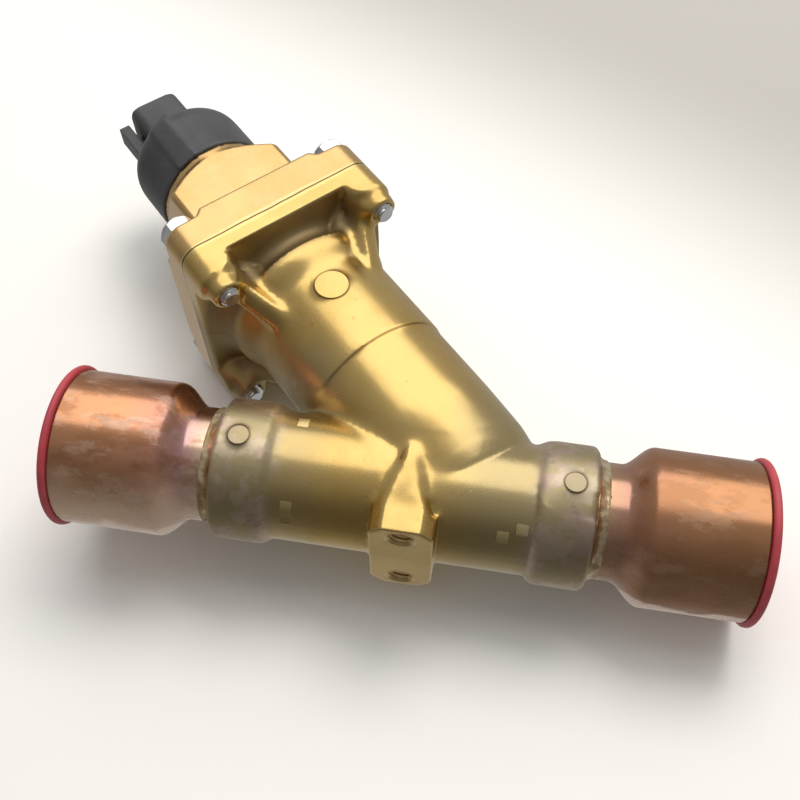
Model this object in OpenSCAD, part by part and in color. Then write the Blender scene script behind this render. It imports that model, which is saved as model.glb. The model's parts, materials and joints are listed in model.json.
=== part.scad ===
// Y-pattern electronic expansion valve with brazed copper solder ends
// Origin: on the fixing face, midway between its two tapped holes
// +X runs along the ports towards the outlet, +Y towards the motor, +Z is up
// Positions along the leg are measured from where the leg axis crosses the port axis

/* [Port run] */
// Fixing face to the port axis
face_to_axis = 26; // [25:0.5:32]
// Fixing boss centre to the end of the inlet collar
inlet_reach = 69.5; // [66:0.5:90]
// Fixing boss centre to the end of the outlet collar
outlet_reach = 64.5; // [62:0.5:90]
// Bore of both ports
port_bore = 36; // [30:1:38]
// Outside diameter of the port tubes
tube_d = 47; // [45:0.5:50]
// Outside diameter of the solder collars
collar_d = 52; // [50:0.5:58]
// Length of each solder collar
collar_len = 18; // [16:0.5:24]
// Length of the shoulder behind each collar
shoulder_len = 4; // [2:0.5:6]

/* [Copper stubs] */
// Outside diameter of the copper neck
neck_d = 42; // [40:0.5:44]
// Depth of the neck inside the collar
socket_depth = 13; // [10:0.5:15]
// Length of neck that shows
neck_show = 8.7; // [5:0.1:14]
// Length of the shoulder from neck to bell
reducer_len = 11.5; // [8:0.5:18]
// Outside diameter of the bell
bell_d = 57; // [54:0.5:62]
// Length of the bell
bell_len = 35; // [28:0.5:45]
// Wall of the copper
copper_wall = 1.4; // [1:0.1:1.8]
// Leg of the braze fillet
braze_leg = 2.6; // [1.5:0.1:3.5]

/* [Transport plugs] */
// Width of the plug's rim past the outside of the bell
plug_lip = 1.5; // [0.5:0.1:3]
// Thickness of the plug's rim
plug_rim_t = 3.5; // [2.5:0.1:6]
// Depth of the plug's skirt inside the bell
plug_depth = 16; // [10:0.5:22]
// Wall of the plug
plug_wall = 1.8; // [1.2:0.1:2.4]
// Depth of the dish in the plug's face
plug_dish = 1.2; // [0.6:0.1:1.6]

/* [Valve leg] */
// Where the leg axis crosses the port axis, from the fixing boss centre
branch_x = 25; // [22:0.5:28]
// Angle between the leg and the port axis
leg_angle = 45; // [43:1:50]
// Outside diameter of the leg
leg_d = 62; // [60:0.5:66]
// Step in the leg's radius at the forging line
leg_step = 0.6; // [0.3:0.1:1]
// Place of the forging line along the leg
leg_step_at = 63; // [50:1:70]
// Bore that carries the guide sleeve
leg_bore = 48; // [47:0.5:50]
// Bore of the chamber below the sleeve
chamber_bore = 45; // [43:0.5:46]
// Flange parting plane along the leg
leg_len = 129; // [126:0.5:136]
// Rounding of the closed end of the leg
foot_round = 18; // [12:0.5:20]
// Diameter of the flat pad on top of the leg
pad_d = 13; // [8:0.5:16]
// Place of the flat pad along the leg
pad_at = 92.5; // [82:0.5:95]

/* [Flange joint] */
// Bolt spacing both ways
bolt_pitch = 69; // [68:0.5:74]
// Thread diameter of the bolts
bolt_d = 8; // [6:1:9]
// Distance from a bolt to the flange's sides
bolt_edge = 7.9; // [7.5:0.1:9]
// Diameter of the lugs behind the flange
lug_d = 21; // [19:0.5:23]
// Thickness of the body flange at its rim
plate_t = 7; // [5:0.5:9]
// Thickness of the body flange at the lugs
lug_t = 21.5; // [19:0.5:24]
// Thickness of the bonnet flange under the bolt heads
bonnet_lug_t = 13; // [12:0.5:16]
// Height of the bonnet flange's raised middle
bonnet_pad_t = 3; // [2:0.5:4]
// Length of bolt that shows below a lug
bolt_show = 2; // [1:0.5:5]
// Radius of the fillet between the leg and the flange
flange_fillet = 9; // [7:0.5:12]
// Swell of the leg's radius below the flange
leg_swell = 3.5; // [2:0.5:4.5]
// Thickness of the gusset behind each lug
gusset_t = 9; // [6:0.5:11]

/* [Bonnet hub] */
// Distance across the flats of the square hub
hub_af = 51; // [50:0.5:54]
// Corner cut of the square hub
hub_corner_cut = 1.8; // [1:0.1:3]
// Height of the square hub up to its turned neck
hub_len = 37.4; // [36:0.1:41]
// Height of the turned neck
hub_neck_len = 3.6; // [2:0.1:6]
// Play round the motor, on the radius
motor_gap = 0.3; // [0.2:0.05:0.5]
// Wall of the motor cap's spigot
spigot_wall = 2.3; // [2:0.1:2.6]
// Depth of the counterbore for the spigot
spigot_len = 9; // [7:0.5:12]
// Thickness of the web under the bearing
web_t = 5; // [4:0.5:7]
// Depth of the recess over the guide sleeve
web_gap = 5; // [3:0.5:6]

/* [Motor cap] */
// Diameter of the cap
cap_d = 52; // [51:0.5:56]
// Height of the cap above the hub
cap_h = 33.5; // [31:0.5:40]
// Radius of the cap's shoulder
cap_round = 12; // [8:0.5:13]
// Wall of the cap's top
cap_wall = 4; // [3:0.5:6]
// Width of the square connector
connector_w = 23; // [21:0.5:25]
// Length of the connector beyond the cap
connector_len = 21.5; // [18:0.5:26]
// Corner radius of the connector
connector_round = 4; // [2:0.5:5]
// Wall of the connector
connector_wall = 2.6; // [2:0.1:3.5]
// Depth of the connector's socket
connector_depth = 13; // [10:0.5:14]
// Spacing of the four contacts
contact_pitch = 6; // [5:0.25:8]
// Diameter of a contact
contact_d = 1.6; // [1:0.1:2]
// Thickness of the latch bar
latch_t = 5; // [3:0.5:6]
// Width of the latch bar
latch_w = 9; // [6:0.5:12]
// Gap between the connector and the latch bar
latch_gap = 2; // [1:0.25:3]

/* [Motor] */
// Bore of the thin-walled can
can_bore = 24.4; // [24:0.1:25]
// Wall of the can
can_wall = 0.6; // [0.4:0.1:0.8]
// Height of the can up to its shoulder
can_h = 50; // [48:0.5:52]
// Height of each coil
coil_h = 22; // [20:0.5:22.5]
// Thickness of the pole plates
pole_t = 1.5; // [1:0.1:2]
// Diameter of the stator
stator_d = 39.4; // [38.5:0.1:39.4]
// Length of the rotor magnet
magnet_len = 32; // [24:0.5:36]
// Bore of the rotor magnet
magnet_bore = 12; // [11:0.5:14]
// Air gap between the magnet and the can
air_gap = 0.4; // [0.3:0.05:0.6]

/* [Screw and bearing] */
// Diameter of the lead screw
screw_d = 8; // [7:0.5:8]
// Outside diameter of the ball bearing
bearing_d = 22; // [21:0.5:24]
// Width of the ball bearing
bearing_w = 7; // [6:0.5:8]
// Diameter of the bearing's balls
ball_d = 3.8; // [3:0.1:3.9]
// Number of balls
ball_count = 9; // [7:1:10]
// Height of the upper bush
bush_h = 5; // [4:0.5:6]
// Diameter of the upper bush
bush_d = 14; // [12:0.5:16]

/* [Seat and piston] */
// Diameter of the orifice
orifice_d = 30; // [24:0.5:31]
// Chamber floor along the leg
floor_at = 24; // [23:0.5:26]
// Wall of the seat ring
seat_ring_w = 4.5; // [3.5:0.1:5]
// Depth of the seat ring's pocket
seat_sink = 4; // [3:0.5:6]
// Height of the seat ring above the chamber floor
seat_rise = 2; // [1:0.5:4]
// Diameter of the piston
piston_d = 39.7; // [38.5:0.1:40]
// Length of the piston above the seat
piston_len = 74; // [72:0.5:78]
// Depth of the piston's nose inside the seat
nose_len = 5; // [3:0.5:7]
// Full stroke of the piston
stroke = 14.4; // [10:0.2:16]
// Lower end of the guide sleeve along the leg
sleeve_at = 58; // [56:0.5:59]
// Height of the drive nut
nut_h = 14; // [12:0.5:16]
// Diameter of the drive nut
nut_d = 18; // [16:0.5:20]
// Width of the anti-turn key
key_w = 4; // [3:0.5:6]
// Depth of the key's slot in the piston
key_depth = 2.4; // [2:0.1:3]

/* [Fixing boss] */
// Width of the fixing face
boss_w = 22.5; // [20:0.5:26]
// Height of the fixing face
boss_h = 48; // [46:0.5:56]
// Corner chamfer of the fixing face
boss_chamfer = 4.5; // [2:0.5:5.5]
// Spacing of the two tapped holes
hole_pitch = 34; // [31:0.5:36]
// Tapping drill of the two holes
tap_d = 8.5; // [6:0.25:9]
// Depth of the two holes
tap_depth = 14; // [10:0.5:16]
// Depth of the flat on top of the boss
boss_shelf = 10; // [7:0.5:12]

/* [Clearances] */
// Play of a sliding fit, on the radius
slide_clear = 0.15; // [0.1:0.05:0.25]
// Play of a seated fit, on the radius or face
seat_clear = 0.05; // [0.02:0.01:0.1]
// Gap between the closed piston and its seat
close_gap = 0.3; // [0.2:0.05:0.5]

/* [Hidden] */
$fn = 96;

// Radii
tube_r = tube_d / 2;
collar_r = collar_d / 2;
neck_r = neck_d / 2;
bell_r = bell_d / 2;
leg_r = leg_d / 2;
lug_r = lug_d / 2;
cap_r = cap_d / 2;
hub_rim_r = hub_af / 2 - 0.1;
piston_r = piston_d / 2;
sleeve_bore_r = piston_r + slide_clear;
screw_r = screw_d / 2;
can_r = can_bore / 2 + can_wall;
stator_r = stator_d / 2;
motor_bore = stator_d + 2 * motor_gap;
spigot_d = motor_bore + 2 * (slide_clear + spigot_wall + seat_clear);
seat_bore = orifice_d + 1;
seat_ring_d = seat_bore + 2 * seat_ring_w;
stator_bore_r = can_r + slide_clear;
pole_skin = 1;
bobbin_wall = 1;
winding_sink = 1.4;
bearing_r = bearing_d / 2;
bush_r = bush_d / 2;
track_r = (bearing_r + screw_r) / 2;
race_gap = 0.32 * ball_d;
web_play = seat_clear + 0.2;

// Stations along the leg
lug_end = leg_len - lug_t;
plate_back = leg_len - plate_t;
head_seat = leg_len + bonnet_lug_t;
pad_face = head_seat + bonnet_pad_t;
cone_top = pad_face + hub_len;
hub_end = cone_top + hub_neck_len;
spigot_floor = hub_end - spigot_len;
bearing_floor = leg_len + web_gap + web_t;
motor_floor = bearing_floor + bearing_w;
can_shoulder = motor_floor + can_h;
can_top = can_shoulder + bush_h + can_wall;
foot_t = 2 * can_wall;
stator_at = motor_floor + foot_t;
stator_len = 4 * pole_t + 2 * coil_h;
magnet_at = stator_at + (stator_len - magnet_len) / 2;
screw_step = magnet_at - 2;
step_w = 1.2;
hub_proud = 1;
cap_top = hub_end + cap_h;
cavity_top = cap_top - cap_wall;
connector_end = cap_top + connector_len;
socket_floor = connector_end - connector_depth;
seat_top = floor_at + seat_rise;
piston_foot = seat_top + close_gap;
piston_head = piston_foot + piston_len;

// Piston details, from its head or from the sleeve
clip_t = 1.2;
clip_at = piston_head - 2;
nut_at = clip_at - seat_clear - nut_h;
screw_tip = nut_at - 4;
screw_well = screw_tip - stroke - 2;
seal_h = 3;
seal_at = sleeve_at + 4;
wear_h = 3;
wear_at = seal_at + seal_h + 2.5;
groove_depth = 2.4;
key_h = 8;
key_at = piston_head - key_h - 4;
slot_at = key_at - stroke - 1;

// Flange and hub details
lug_tip_r = bolt_d / 2 + 2.4;
lug_taper = 12;
swell_len = 12;
plate_half = bolt_pitch / 2 + bolt_edge;
spot_r = 8.2;
spot_sink = 0.3;
gusset_drop = 20;
gusset_seat = 5;
ring_w = 3;
ring_sink = 0.8 * ring_w;
ring_r = leg_bore / 2 + 4;
can_ring_r = can_r + 1;
bolt_play = 0.5;
bolt_lead = 0.8;
hub_reach_r = hub_af / 2 * sqrt(2);
bolt_head_af = 1.625 * bolt_d;
bolt_head_h = 0.66 * bolt_d;
bolt_end = lug_end - bolt_show;

// Cap details
cap_ring_w = 1.2;
cap_ring_h = 2;
cap_ring_r = spigot_d / 2 - cap_ring_w;
cap_ring_at = spigot_floor + 3;
socket_round = connector_round - 1.5;
contact_tail = 3;
contact_sink = 7;
latch_root = 8;
panel_w = 10;
panel_turn = -22;
panel_proud = 0.4;
knee_proud = 0.6;

// Port details
inlet_end_x = branch_x - floor_at * cos(leg_angle) - chamber_bore / 2 * sin(leg_angle) - 2;
bell_at = neck_show + reducer_len;
stub_end = bell_at + bell_len;
plug_rim_r = bell_r + plug_lip;
plug_skirt_r = bell_r - copper_wall - seat_clear;
collar_edge = 1.2;
turn_room = 2;
leg_foot = -6;
tap_sink = 1;
mark_r = 3.75;
mark_h = 0.7;
mark_from_end = 8.8;
ridge_top_w = 5;
ridge_base_w = boss_w - 2 * boss_chamfer;
ridge_rise = 4;
ridge_sink = 8;

// Places of the parts
module on_leg() translate([branch_x, face_to_axis, 0]) rotate([0, -90, -leg_angle]) children();
module at_inlet() translate([-inlet_reach, face_to_axis, 0]) rotate([0, -90, 0]) children();
module at_outlet() translate([outlet_reach, face_to_axis, 0]) rotate([0, 90, 0]) rotate(180) children();
module at_bolts() for (i = [-1, 1], j = [-1, 1]) translate([i, j, 0] * bolt_pitch / 2) children();

// Outline helpers
function arc(cx, cy, r, from, to, n) = [
    for (i = [0:n]) let (a = from + (to - from) * i / n) [cx + r * cos(a), cy + r * sin(a)]
];
function s_bend(r0, z0, r1, z1, n) = [
    for (i = [0:n]) [r0 + (r1 - r0) * (1 - cos(180 * i / n)) / 2, z0 + (z1 - z0) * i / n]
];
function reversed(list) = [for (i = [len(list) - 1:-1:0]) list[i]];
function inset_r(list, d) = [for (p = list) [p[0] - d, p[1]]];
function round_square(w, r, n) = concat(
    arc(w / 2 - r, w / 2 - r, r, 0, 90, n),
    arc(r - w / 2, w / 2 - r, r, 90, 180, n),
    arc(r - w / 2, r - w / 2, r, 180, 270, n),
    arc(w / 2 - r, r - w / 2, r, 270, 360, n)
);
function cut_rect(w, h, c) = [
    [w / 2, c - h / 2], [w / 2, h / 2 - c], [w / 2 - c, h / 2], [c - w / 2, h / 2],
    [-w / 2, h / 2 - c], [-w / 2, c - h / 2], [c - w / 2, -h / 2], [w / 2 - c, -h / 2]
];

// Solid helpers
module ring(r_out, r_in, z0, z1) {
    translate([0, 0, z0]) difference() {
        cylinder(r = r_out, h = z1 - z0);
        translate([0, 0, -1]) cylinder(r = r_in, h = z1 - z0 + 2);
    }
}
module rod(r, z0, z1) translate([0, 0, z0]) cylinder(r = r, h = z1 - z0);
module o_ring(r_in, w, z0, h) {
    rotate_extrude() translate([r_in + w / 2, z0 + h / 2]) circle(d = min(w, h) - 2 * seat_clear);
}

// Forged body
module port_arm(reach) {
    rotate_extrude() polygon([
        [0, -reach], [tube_r, -reach], [tube_r, -collar_len - shoulder_len], [collar_r, -collar_len],
        [collar_r, -collar_edge], [collar_r - collar_edge, 0], [0, 0]
    ]);
    translate([collar_r - 1, 0, -mark_from_end]) rotate([0, 90, 0]) cylinder(r = mark_r, h = 1 + mark_h);
}
module leg_shell() {
    low_r = leg_r - leg_step;
    crest_r = leg_r + leg_swell;
    swell_top = plate_back - flange_fillet - 1;
    rotate_extrude() polygon(concat(
        [[0, leg_foot]],
        arc(low_r - foot_round, leg_foot + foot_round, foot_round, -90, 0, 10),
        [[low_r, leg_step_at], [leg_r, leg_step_at + leg_step]],
        s_bend(leg_r, swell_top - swell_len, crest_r, swell_top, 8),
        arc(crest_r + flange_fillet, plate_back - flange_fillet, flange_fillet, 180, 90, 8),
        [[2 * plate_half, plate_back], [2 * plate_half, leg_len + 1], [0, leg_len + 1]]
    ));
    translate([0, 0, pad_at]) rotate([0, 90, 0]) cylinder(d = pad_d, h = leg_r + 0.4);
}
module lug_post() {
    rotate_extrude() polygon([
        [0, lug_end], [lug_tip_r - 1, lug_end], [lug_tip_r, lug_end + 1],
        [lug_r, lug_end + lug_taper], [lug_r, leg_len + 1], [0, leg_len + 1]
    ]);
}
module flange_outline(z0, z1) {
    translate([0, 0, z0]) linear_extrude(z1 - z0) polygon(round_square(2 * plate_half, bolt_edge, 8));
}
module gusset(turn) {
    lug_at = bolt_pitch / sqrt(2);
    rotate([90, 0, turn]) translate([0, 0, -gusset_t / 2]) linear_extrude(gusset_t) polygon([
        [leg_r - 4, lug_end - gusset_drop], [lug_at - lug_r / 2, lug_end + gusset_seat],
        [lug_at, lug_end + gusset_seat], [lug_at, plate_back + 1], [leg_r - 4, plate_back + 1]
    ]);
}
module flanged_leg() {
    intersection() {
        union() {
            leg_shell();
            at_bolts() lug_post();
            for (turn = [45:90:315]) gusset(turn);
        }
        flange_outline(leg_foot - 1, leg_len);
    }
}
module fixing_boss() {
    rotate([-90, 0, 0]) linear_extrude(face_to_axis) polygon(cut_rect(boss_w, boss_h, boss_chamfer));
    for (side = [0, 1]) mirror([0, 0, side]) hull() {
        translate([-ridge_base_w / 2, boss_shelf, boss_h / 2 - ridge_sink])
            cube([ridge_base_w, 1, ridge_sink]);
        translate([-ridge_top_w / 2, face_to_axis + 4, boss_h / 2 - ridge_sink])
            cube([ridge_top_w, 1, ridge_sink + ridge_rise]);
    }
}
module port_cuts() {
    at_inlet() rod(port_bore / 2, -inlet_reach - inlet_end_x, 1);
    at_outlet() rod(port_bore / 2, branch_x - outlet_reach, 1);
    translate([branch_x, face_to_axis, 0]) sphere(d = port_bore + turn_room);
    at_inlet() rod(neck_r + seat_clear, -socket_depth, 1);
    at_outlet() rod(neck_r + seat_clear, -socket_depth, 1);
}
module leg_cuts() {
    rod(orifice_d / 2, 0, floor_at + 1);
    rod(seat_ring_d / 2 + seat_clear, floor_at - seat_sink, floor_at + 1);
    rod(chamber_bore / 2, floor_at, sleeve_at + 1);
    rod(leg_bore / 2, sleeve_at, leg_len + 1);
    ring(ring_r + ring_w, ring_r, leg_len - ring_sink, leg_len + 1);
    at_bolts() rod(bolt_d / 2 + seat_clear, lug_end - 1, leg_len + 1);
}
module fixing_holes() {
    for (z = [-hole_pitch / 2, hole_pitch / 2]) translate([0, 0, z]) rotate([-90, 0, 0]) {
        rod(tap_d / 2, -1, tap_depth);
        translate([0, 0, -0.01]) cylinder(r1 = tap_d / 2 + tap_sink, r2 = tap_d / 2, h = tap_sink);
    }
}
module valve_body() {
    color("#c8a24a") difference() {
        union() {
            at_inlet() port_arm(inlet_reach);
            at_outlet() port_arm(outlet_reach);
            on_leg() flanged_leg();
            fixing_boss();
        }
        port_cuts();
        on_leg() leg_cuts();
        fixing_holes();
    }
}

// Copper stubs, braze and transport plugs
module stub() {
    outer = concat(
        [[neck_r, -socket_depth + seat_clear]],
        s_bend(neck_r, neck_show, bell_r, bell_at, 12),
        [[bell_r, stub_end]]
    );
    color("#b3683f") rotate_extrude() polygon(concat(outer, reversed(inset_r(outer, copper_wall))));
}
module braze() {
    color("#cdb98a") rotate_extrude() polygon(concat(
        [[neck_r + seat_clear, 0]],
        [[neck_r + braze_leg, 0]],
        arc(neck_r + seat_clear + braze_leg, braze_leg, braze_leg, 255, 180, 5)
    ));
}
module plug() {
    bead = plug_rim_t / 2;
    color("#a5383f") translate([0, 0, stub_end + seat_clear]) rotate_extrude() polygon(concat(
        [[0, 0], [plug_skirt_r - plug_wall, 0], [plug_skirt_r - plug_wall, -plug_depth]],
        [[plug_skirt_r - 0.4, -plug_depth], [plug_skirt_r, 1 - plug_depth], [plug_skirt_r, 0]],
        arc(plug_rim_r - bead, bead, bead, -90, 90, 8),
        [[plug_skirt_r - 2, plug_rim_t], [plug_skirt_r - 4, plug_rim_t - plug_dish]],
        [[0, plug_rim_t - plug_dish]]
    ));
}
module inlet_stub() at_inlet() stub();
module outlet_stub() at_outlet() stub();
module inlet_braze() at_inlet() braze();
module outlet_braze() at_outlet() braze();
module inlet_plug() at_inlet() plug();
module outlet_plug() at_outlet() plug();

// Bonnet and what clamps it
module hub() {
    intersection() {
        translate([0, 0, pad_face - 1]) linear_extrude(hub_end - pad_face + 1)
            polygon(cut_rect(hub_af, hub_af, hub_corner_cut));
        rotate_extrude() polygon([
            [0, pad_face - 1], [hub_reach_r, pad_face - 1],
            [hub_reach_r, cone_top - hub_reach_r + hub_rim_r],
            [hub_rim_r, cone_top], [hub_rim_r, hub_end], [0, hub_end]
        ]);
    }
}
module bonnet() {
    color("#d7b45c") on_leg() difference() {
        union() {
            bonnet_flange();
            hub();
        }
        rod(sleeve_bore_r, leg_len - 1, leg_len + web_gap);
        rod(screw_r + slide_clear, leg_len, motor_floor);
        rod(bearing_r + seat_clear, bearing_floor, motor_floor + 1);
        rod(motor_bore / 2, motor_floor, hub_end + 1);
        rod(spigot_d / 2, spigot_floor, hub_end + 1);
        ring(can_ring_r + ring_w, can_ring_r, motor_floor - ring_sink, motor_floor + 1);
        at_bolts() rod(bolt_d / 2 + bolt_play, leg_len - 1, head_seat + 1);
        at_bolts() rod(spot_r, head_seat, pad_face + 1);
    }
}
module bonnet_flange() {
    intersection() {
        union() {
            rod(2 * plate_half, leg_len - 1, head_seat + spot_sink);
            for (turn = [0, 90]) rotate([90, 0, turn]) flange_ridge();
        }
        flange_outline(leg_len, pad_face + 1);
    }
}
module flange_ridge() {
    arm = bolt_pitch / 2 - spot_r - bonnet_pad_t / 2;
    foot = arm + bonnet_pad_t + 1;
    translate([0, 0, -plate_half - 1]) linear_extrude(2 * plate_half + 2)
        polygon([[-foot, head_seat - 1], [-arm, pad_face], [arm, pad_face], [foot, head_seat - 1]]);
}
module flange_bolts() {
    color("#c9cdd2") on_leg() at_bolts() {
        rod(bolt_d / 2, bolt_end + bolt_lead, head_seat + 1);
        translate([0, 0, bolt_end]) cylinder(r1 = bolt_d / 2 - bolt_lead, r2 = bolt_d / 2, h = bolt_lead);
        intersection() {
            translate([0, 0, head_seat]) cylinder(d = bolt_head_af / cos(30), h = bolt_head_h, $fn = 6);
            rotate_extrude() polygon([
                [0, head_seat], [bolt_head_af, head_seat],
                [bolt_head_af * 0.62, head_seat + bolt_head_h * 0.8],
                [bolt_head_af * 0.48, head_seat + bolt_head_h], [0, head_seat + bolt_head_h]
            ]);
        }
    }
}
module flange_o_ring() {
    color("#26282a") on_leg() o_ring(ring_r, ring_w, leg_len - ring_sink, ring_sink);
}

// Seat, sleeve and piston
module seat_ring() {
    color("#e4dfd2") on_leg()
        ring(seat_ring_d / 2, seat_bore / 2, floor_at - seat_sink + seat_clear, seat_top);
}
module guide_sleeve() {
    color("#b98d3e") on_leg() difference() {
        ring(leg_bore / 2 - seat_clear, sleeve_bore_r, sleeve_at + seat_clear, leg_len - seat_clear);
        translate([sleeve_bore_r - 1, -key_w / 2 - seat_clear, key_at - seat_clear])
            cube([leg_bore, key_w + 2 * seat_clear, key_h + 2 * seat_clear]);
    }
}
module guide_key() {
    key_tip = piston_r - key_depth + slide_clear;
    color("#8e9296") on_leg() intersection() {
        translate([key_tip, -key_w / 2, key_at]) cube([leg_bore / 2, key_w, key_h]);
        rod(leg_bore / 2 - seat_clear, key_at, key_at + key_h);
    }
}
module piston() {
    color("#c6a050") on_leg() difference() {
        union() {
            rod(piston_r, piston_foot, piston_head);
            rod(seat_bore / 2 - slide_clear, piston_foot - nose_len, piston_foot + 1);
        }
        rod(2, piston_foot - nose_len - 1, screw_well + 1);
        rod(screw_r + 1, screw_well, nut_at + 1);
        rod(nut_d / 2 + seat_clear, nut_at, piston_head + 1);
        ring(nut_d / 2 + 1, nut_d / 2 - 1, clip_at, clip_at + clip_t);
        ring(piston_r + 1, piston_r - groove_depth, seal_at, seal_at + seal_h);
        ring(piston_r + 1, piston_r - groove_depth, wear_at, wear_at + wear_h);
        translate([piston_r - key_depth, -key_w / 2 - slide_clear, slot_at])
            cube([piston_r, key_w + 2 * slide_clear, piston_head]);
    }
}
module piston_seal() {
    color("#ded8c8") on_leg() ring(piston_r + slide_clear / 2, piston_r - groove_depth + seat_clear,
        seal_at + seat_clear, seal_at + seal_h - seat_clear);
}
module piston_wear_ring() {
    color("#4a4038") on_leg() ring(piston_r + slide_clear / 2, piston_r - groove_depth + seat_clear,
        wear_at + seat_clear, wear_at + wear_h - seat_clear);
}
module drive_nut() {
    color("#caa04e") on_leg() ring(nut_d / 2, screw_r + seat_clear, nut_at, nut_at + nut_h);
}
module nut_circlip() {
    color("#6d7175") on_leg() ring(nut_d / 2 + 1 - seat_clear, nut_d / 2 - 2,
        clip_at + seat_clear, clip_at + clip_t - seat_clear);
}

// Screw, bearing and rotor
module lead_screw() {
    color("#b4b8bc") on_leg() {
        rod(screw_r, screw_tip, can_top - can_wall - 1);
        rod(screw_r + step_w, motor_floor + seat_clear, screw_step);
    }
}
module bearing_outer_ring() {
    color("#9fa4a9") on_leg() difference() {
        ring(bearing_r, track_r + race_gap, bearing_floor + seat_clear, motor_floor - seat_clear);
        ball_track();
    }
}
module bearing_inner_ring() {
    color("#9fa4a9") on_leg() difference() {
        ring(track_r - race_gap, screw_r + seat_clear, bearing_floor + web_play, motor_floor - seat_clear);
        ball_track();
    }
}
module ball_track() {
    rotate_extrude() translate([track_r, bearing_floor + bearing_w / 2])
        circle(d = ball_d + 2 * slide_clear);
}
module bearing_balls() {
    color("#d5d8db") on_leg() for (i = [0:ball_count - 1]) rotate(360 * i / ball_count)
        translate([track_r, 0, bearing_floor + bearing_w / 2]) sphere(d = ball_d);
}
module rotor_hub() {
    hub_r = magnet_bore / 2 - seat_clear;
    color("#e0d8c4") on_leg()
        ring(hub_r, screw_r + seat_clear, screw_step + seat_clear, magnet_at + magnet_len + hub_proud);
}
module rotor_magnet() {
    color("#3c3e42") on_leg()
        ring(can_bore / 2 - air_gap, magnet_bore / 2, magnet_at, magnet_at + magnet_len);
}
module motor_can() {
    cup_r = bush_r + seat_clear;
    foot_r = motor_bore / 2 - slide_clear;
    base = motor_floor + seat_clear;
    foot_top = stator_at - 2 * seat_clear;
    color("#aeb2b5") on_leg() rotate_extrude() polygon([
        [can_r - can_wall, base], [foot_r, base], [foot_r, foot_top], [can_r, foot_top],
        [can_r, can_shoulder + can_wall], [cup_r + can_wall, can_shoulder + can_wall],
        [cup_r + can_wall, can_top], [0, can_top], [0, can_top - can_wall], [cup_r, can_top - can_wall],
        [cup_r, can_shoulder], [can_r - can_wall, can_shoulder]
    ]);
}
module can_o_ring() {
    color("#26282a") on_leg() o_ring(can_ring_r, ring_w, motor_floor - ring_sink, ring_sink);
}
module upper_bush() {
    color("#a98c5a") on_leg()
        ring(bush_r, screw_r + seat_clear, can_shoulder + seat_clear, can_top - can_wall - seat_clear);
}

// Stator
module stator_poles() {
    mid = stator_at + pole_t + coil_h;
    color("#8f9498") on_leg() difference() {
        rod(stator_r, stator_at, stator_at + stator_len);
        rod(stator_bore_r, stator_at - 1, stator_at + stator_len + 1);
        ring(stator_r - pole_skin, stator_bore_r - 1, stator_at + pole_t, mid);
        ring(stator_r - pole_skin, stator_bore_r - 1, mid + 2 * pole_t, mid + 2 * pole_t + coil_h);
    }
}
module bobbin(z0) {
    rim_r = stator_r - pole_skin - seat_clear;
    difference() {
        ring(rim_r, stator_bore_r + seat_clear, z0 + seat_clear, z0 + coil_h - seat_clear);
        ring(stator_r, stator_bore_r + bobbin_wall, z0 + bobbin_wall, z0 + coil_h - bobbin_wall);
    }
}
module winding(z0) {
    inset = bobbin_wall + seat_clear;
    ring(stator_r - winding_sink, stator_bore_r + inset, z0 + inset, z0 + coil_h - inset);
}
module lower_bobbin() color("#d9d3c0") on_leg() bobbin(stator_at + pole_t);
module upper_bobbin() color("#d9d3c0") on_leg() bobbin(stator_at + 3 * pole_t + coil_h);
module lower_winding() color("#a5552c") on_leg() winding(stator_at + pole_t);
module upper_winding() color("#a5552c") on_leg() winding(stator_at + 3 * pole_t + coil_h);

// Motor cap with its connector
module cap_shell() {
    rotate_extrude() polygon(concat(
        [[0, hub_end + seat_clear], [cap_r, hub_end + seat_clear]],
        arc(cap_r - cap_round, cap_top - cap_round, cap_round, 0, 90, 10),
        [[0, cap_top]]
    ));
    rod(spigot_d / 2 - seat_clear, spigot_floor + seat_clear, hub_end + 1);
}
module cap_panel() {
    face_r = cap_r + panel_proud;
    root_r = connector_w / 2 - 2;
    knee = cap_r + cap_top - (2 - sqrt(2)) * cap_round + knee_proud;
    rotate([90, 0, panel_turn]) translate([0, 0, -panel_w / 2]) linear_extrude(panel_w) polygon([
        [cap_r - 8, hub_end + seat_clear], [face_r, hub_end + seat_clear], [face_r, knee - face_r],
        [root_r, knee - root_r], [root_r, cap_top - 6], [cap_r - 8, cap_top - cap_round]
    ]);
}
module latch() {
    reach = connector_w / 2 + latch_gap;
    translate([-latch_w / 2, -reach - latch_t, cap_top - latch_root])
        cube([latch_w, latch_t, connector_len + latch_root]);
    translate([-latch_w / 6, -reach - 1, cap_top - latch_root])
        cube([latch_w / 3, latch_gap + 2, connector_len]);
}
module motor_cap() {
    color("#3d3f42") on_leg() difference() {
        union() {
            cap_shell();
            cap_panel();
            latch();
            translate([0, 0, cap_top - 6]) linear_extrude(connector_end - cap_top + 6)
                polygon(round_square(connector_w, connector_round, 5));
        }
        rod(motor_bore / 2 + slide_clear, spigot_floor - 1, cavity_top);
        ring(spigot_d / 2 + 1, cap_ring_r, cap_ring_at, cap_ring_at + cap_ring_h);
        translate([0, 0, socket_floor]) linear_extrude(connector_depth + 1)
            polygon(round_square(connector_w - 2 * connector_wall, socket_round, 5));
        at_contacts() rod(contact_d / 2 + seat_clear, cavity_top - 1, socket_floor + 1);
    }
}
module at_contacts() for (i = [-1, 1], j = [-1, 1]) translate([i, j, 0] * contact_pitch / 2) children();
module cap_o_ring() {
    color("#26282a") on_leg() o_ring(cap_ring_r, cap_ring_w, cap_ring_at, cap_ring_h);
}
module contact_pins() {
    color("#c9b36a") on_leg() at_contacts()
        rod(contact_d / 2, cavity_top - contact_tail, connector_end - contact_sink);
}

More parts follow.
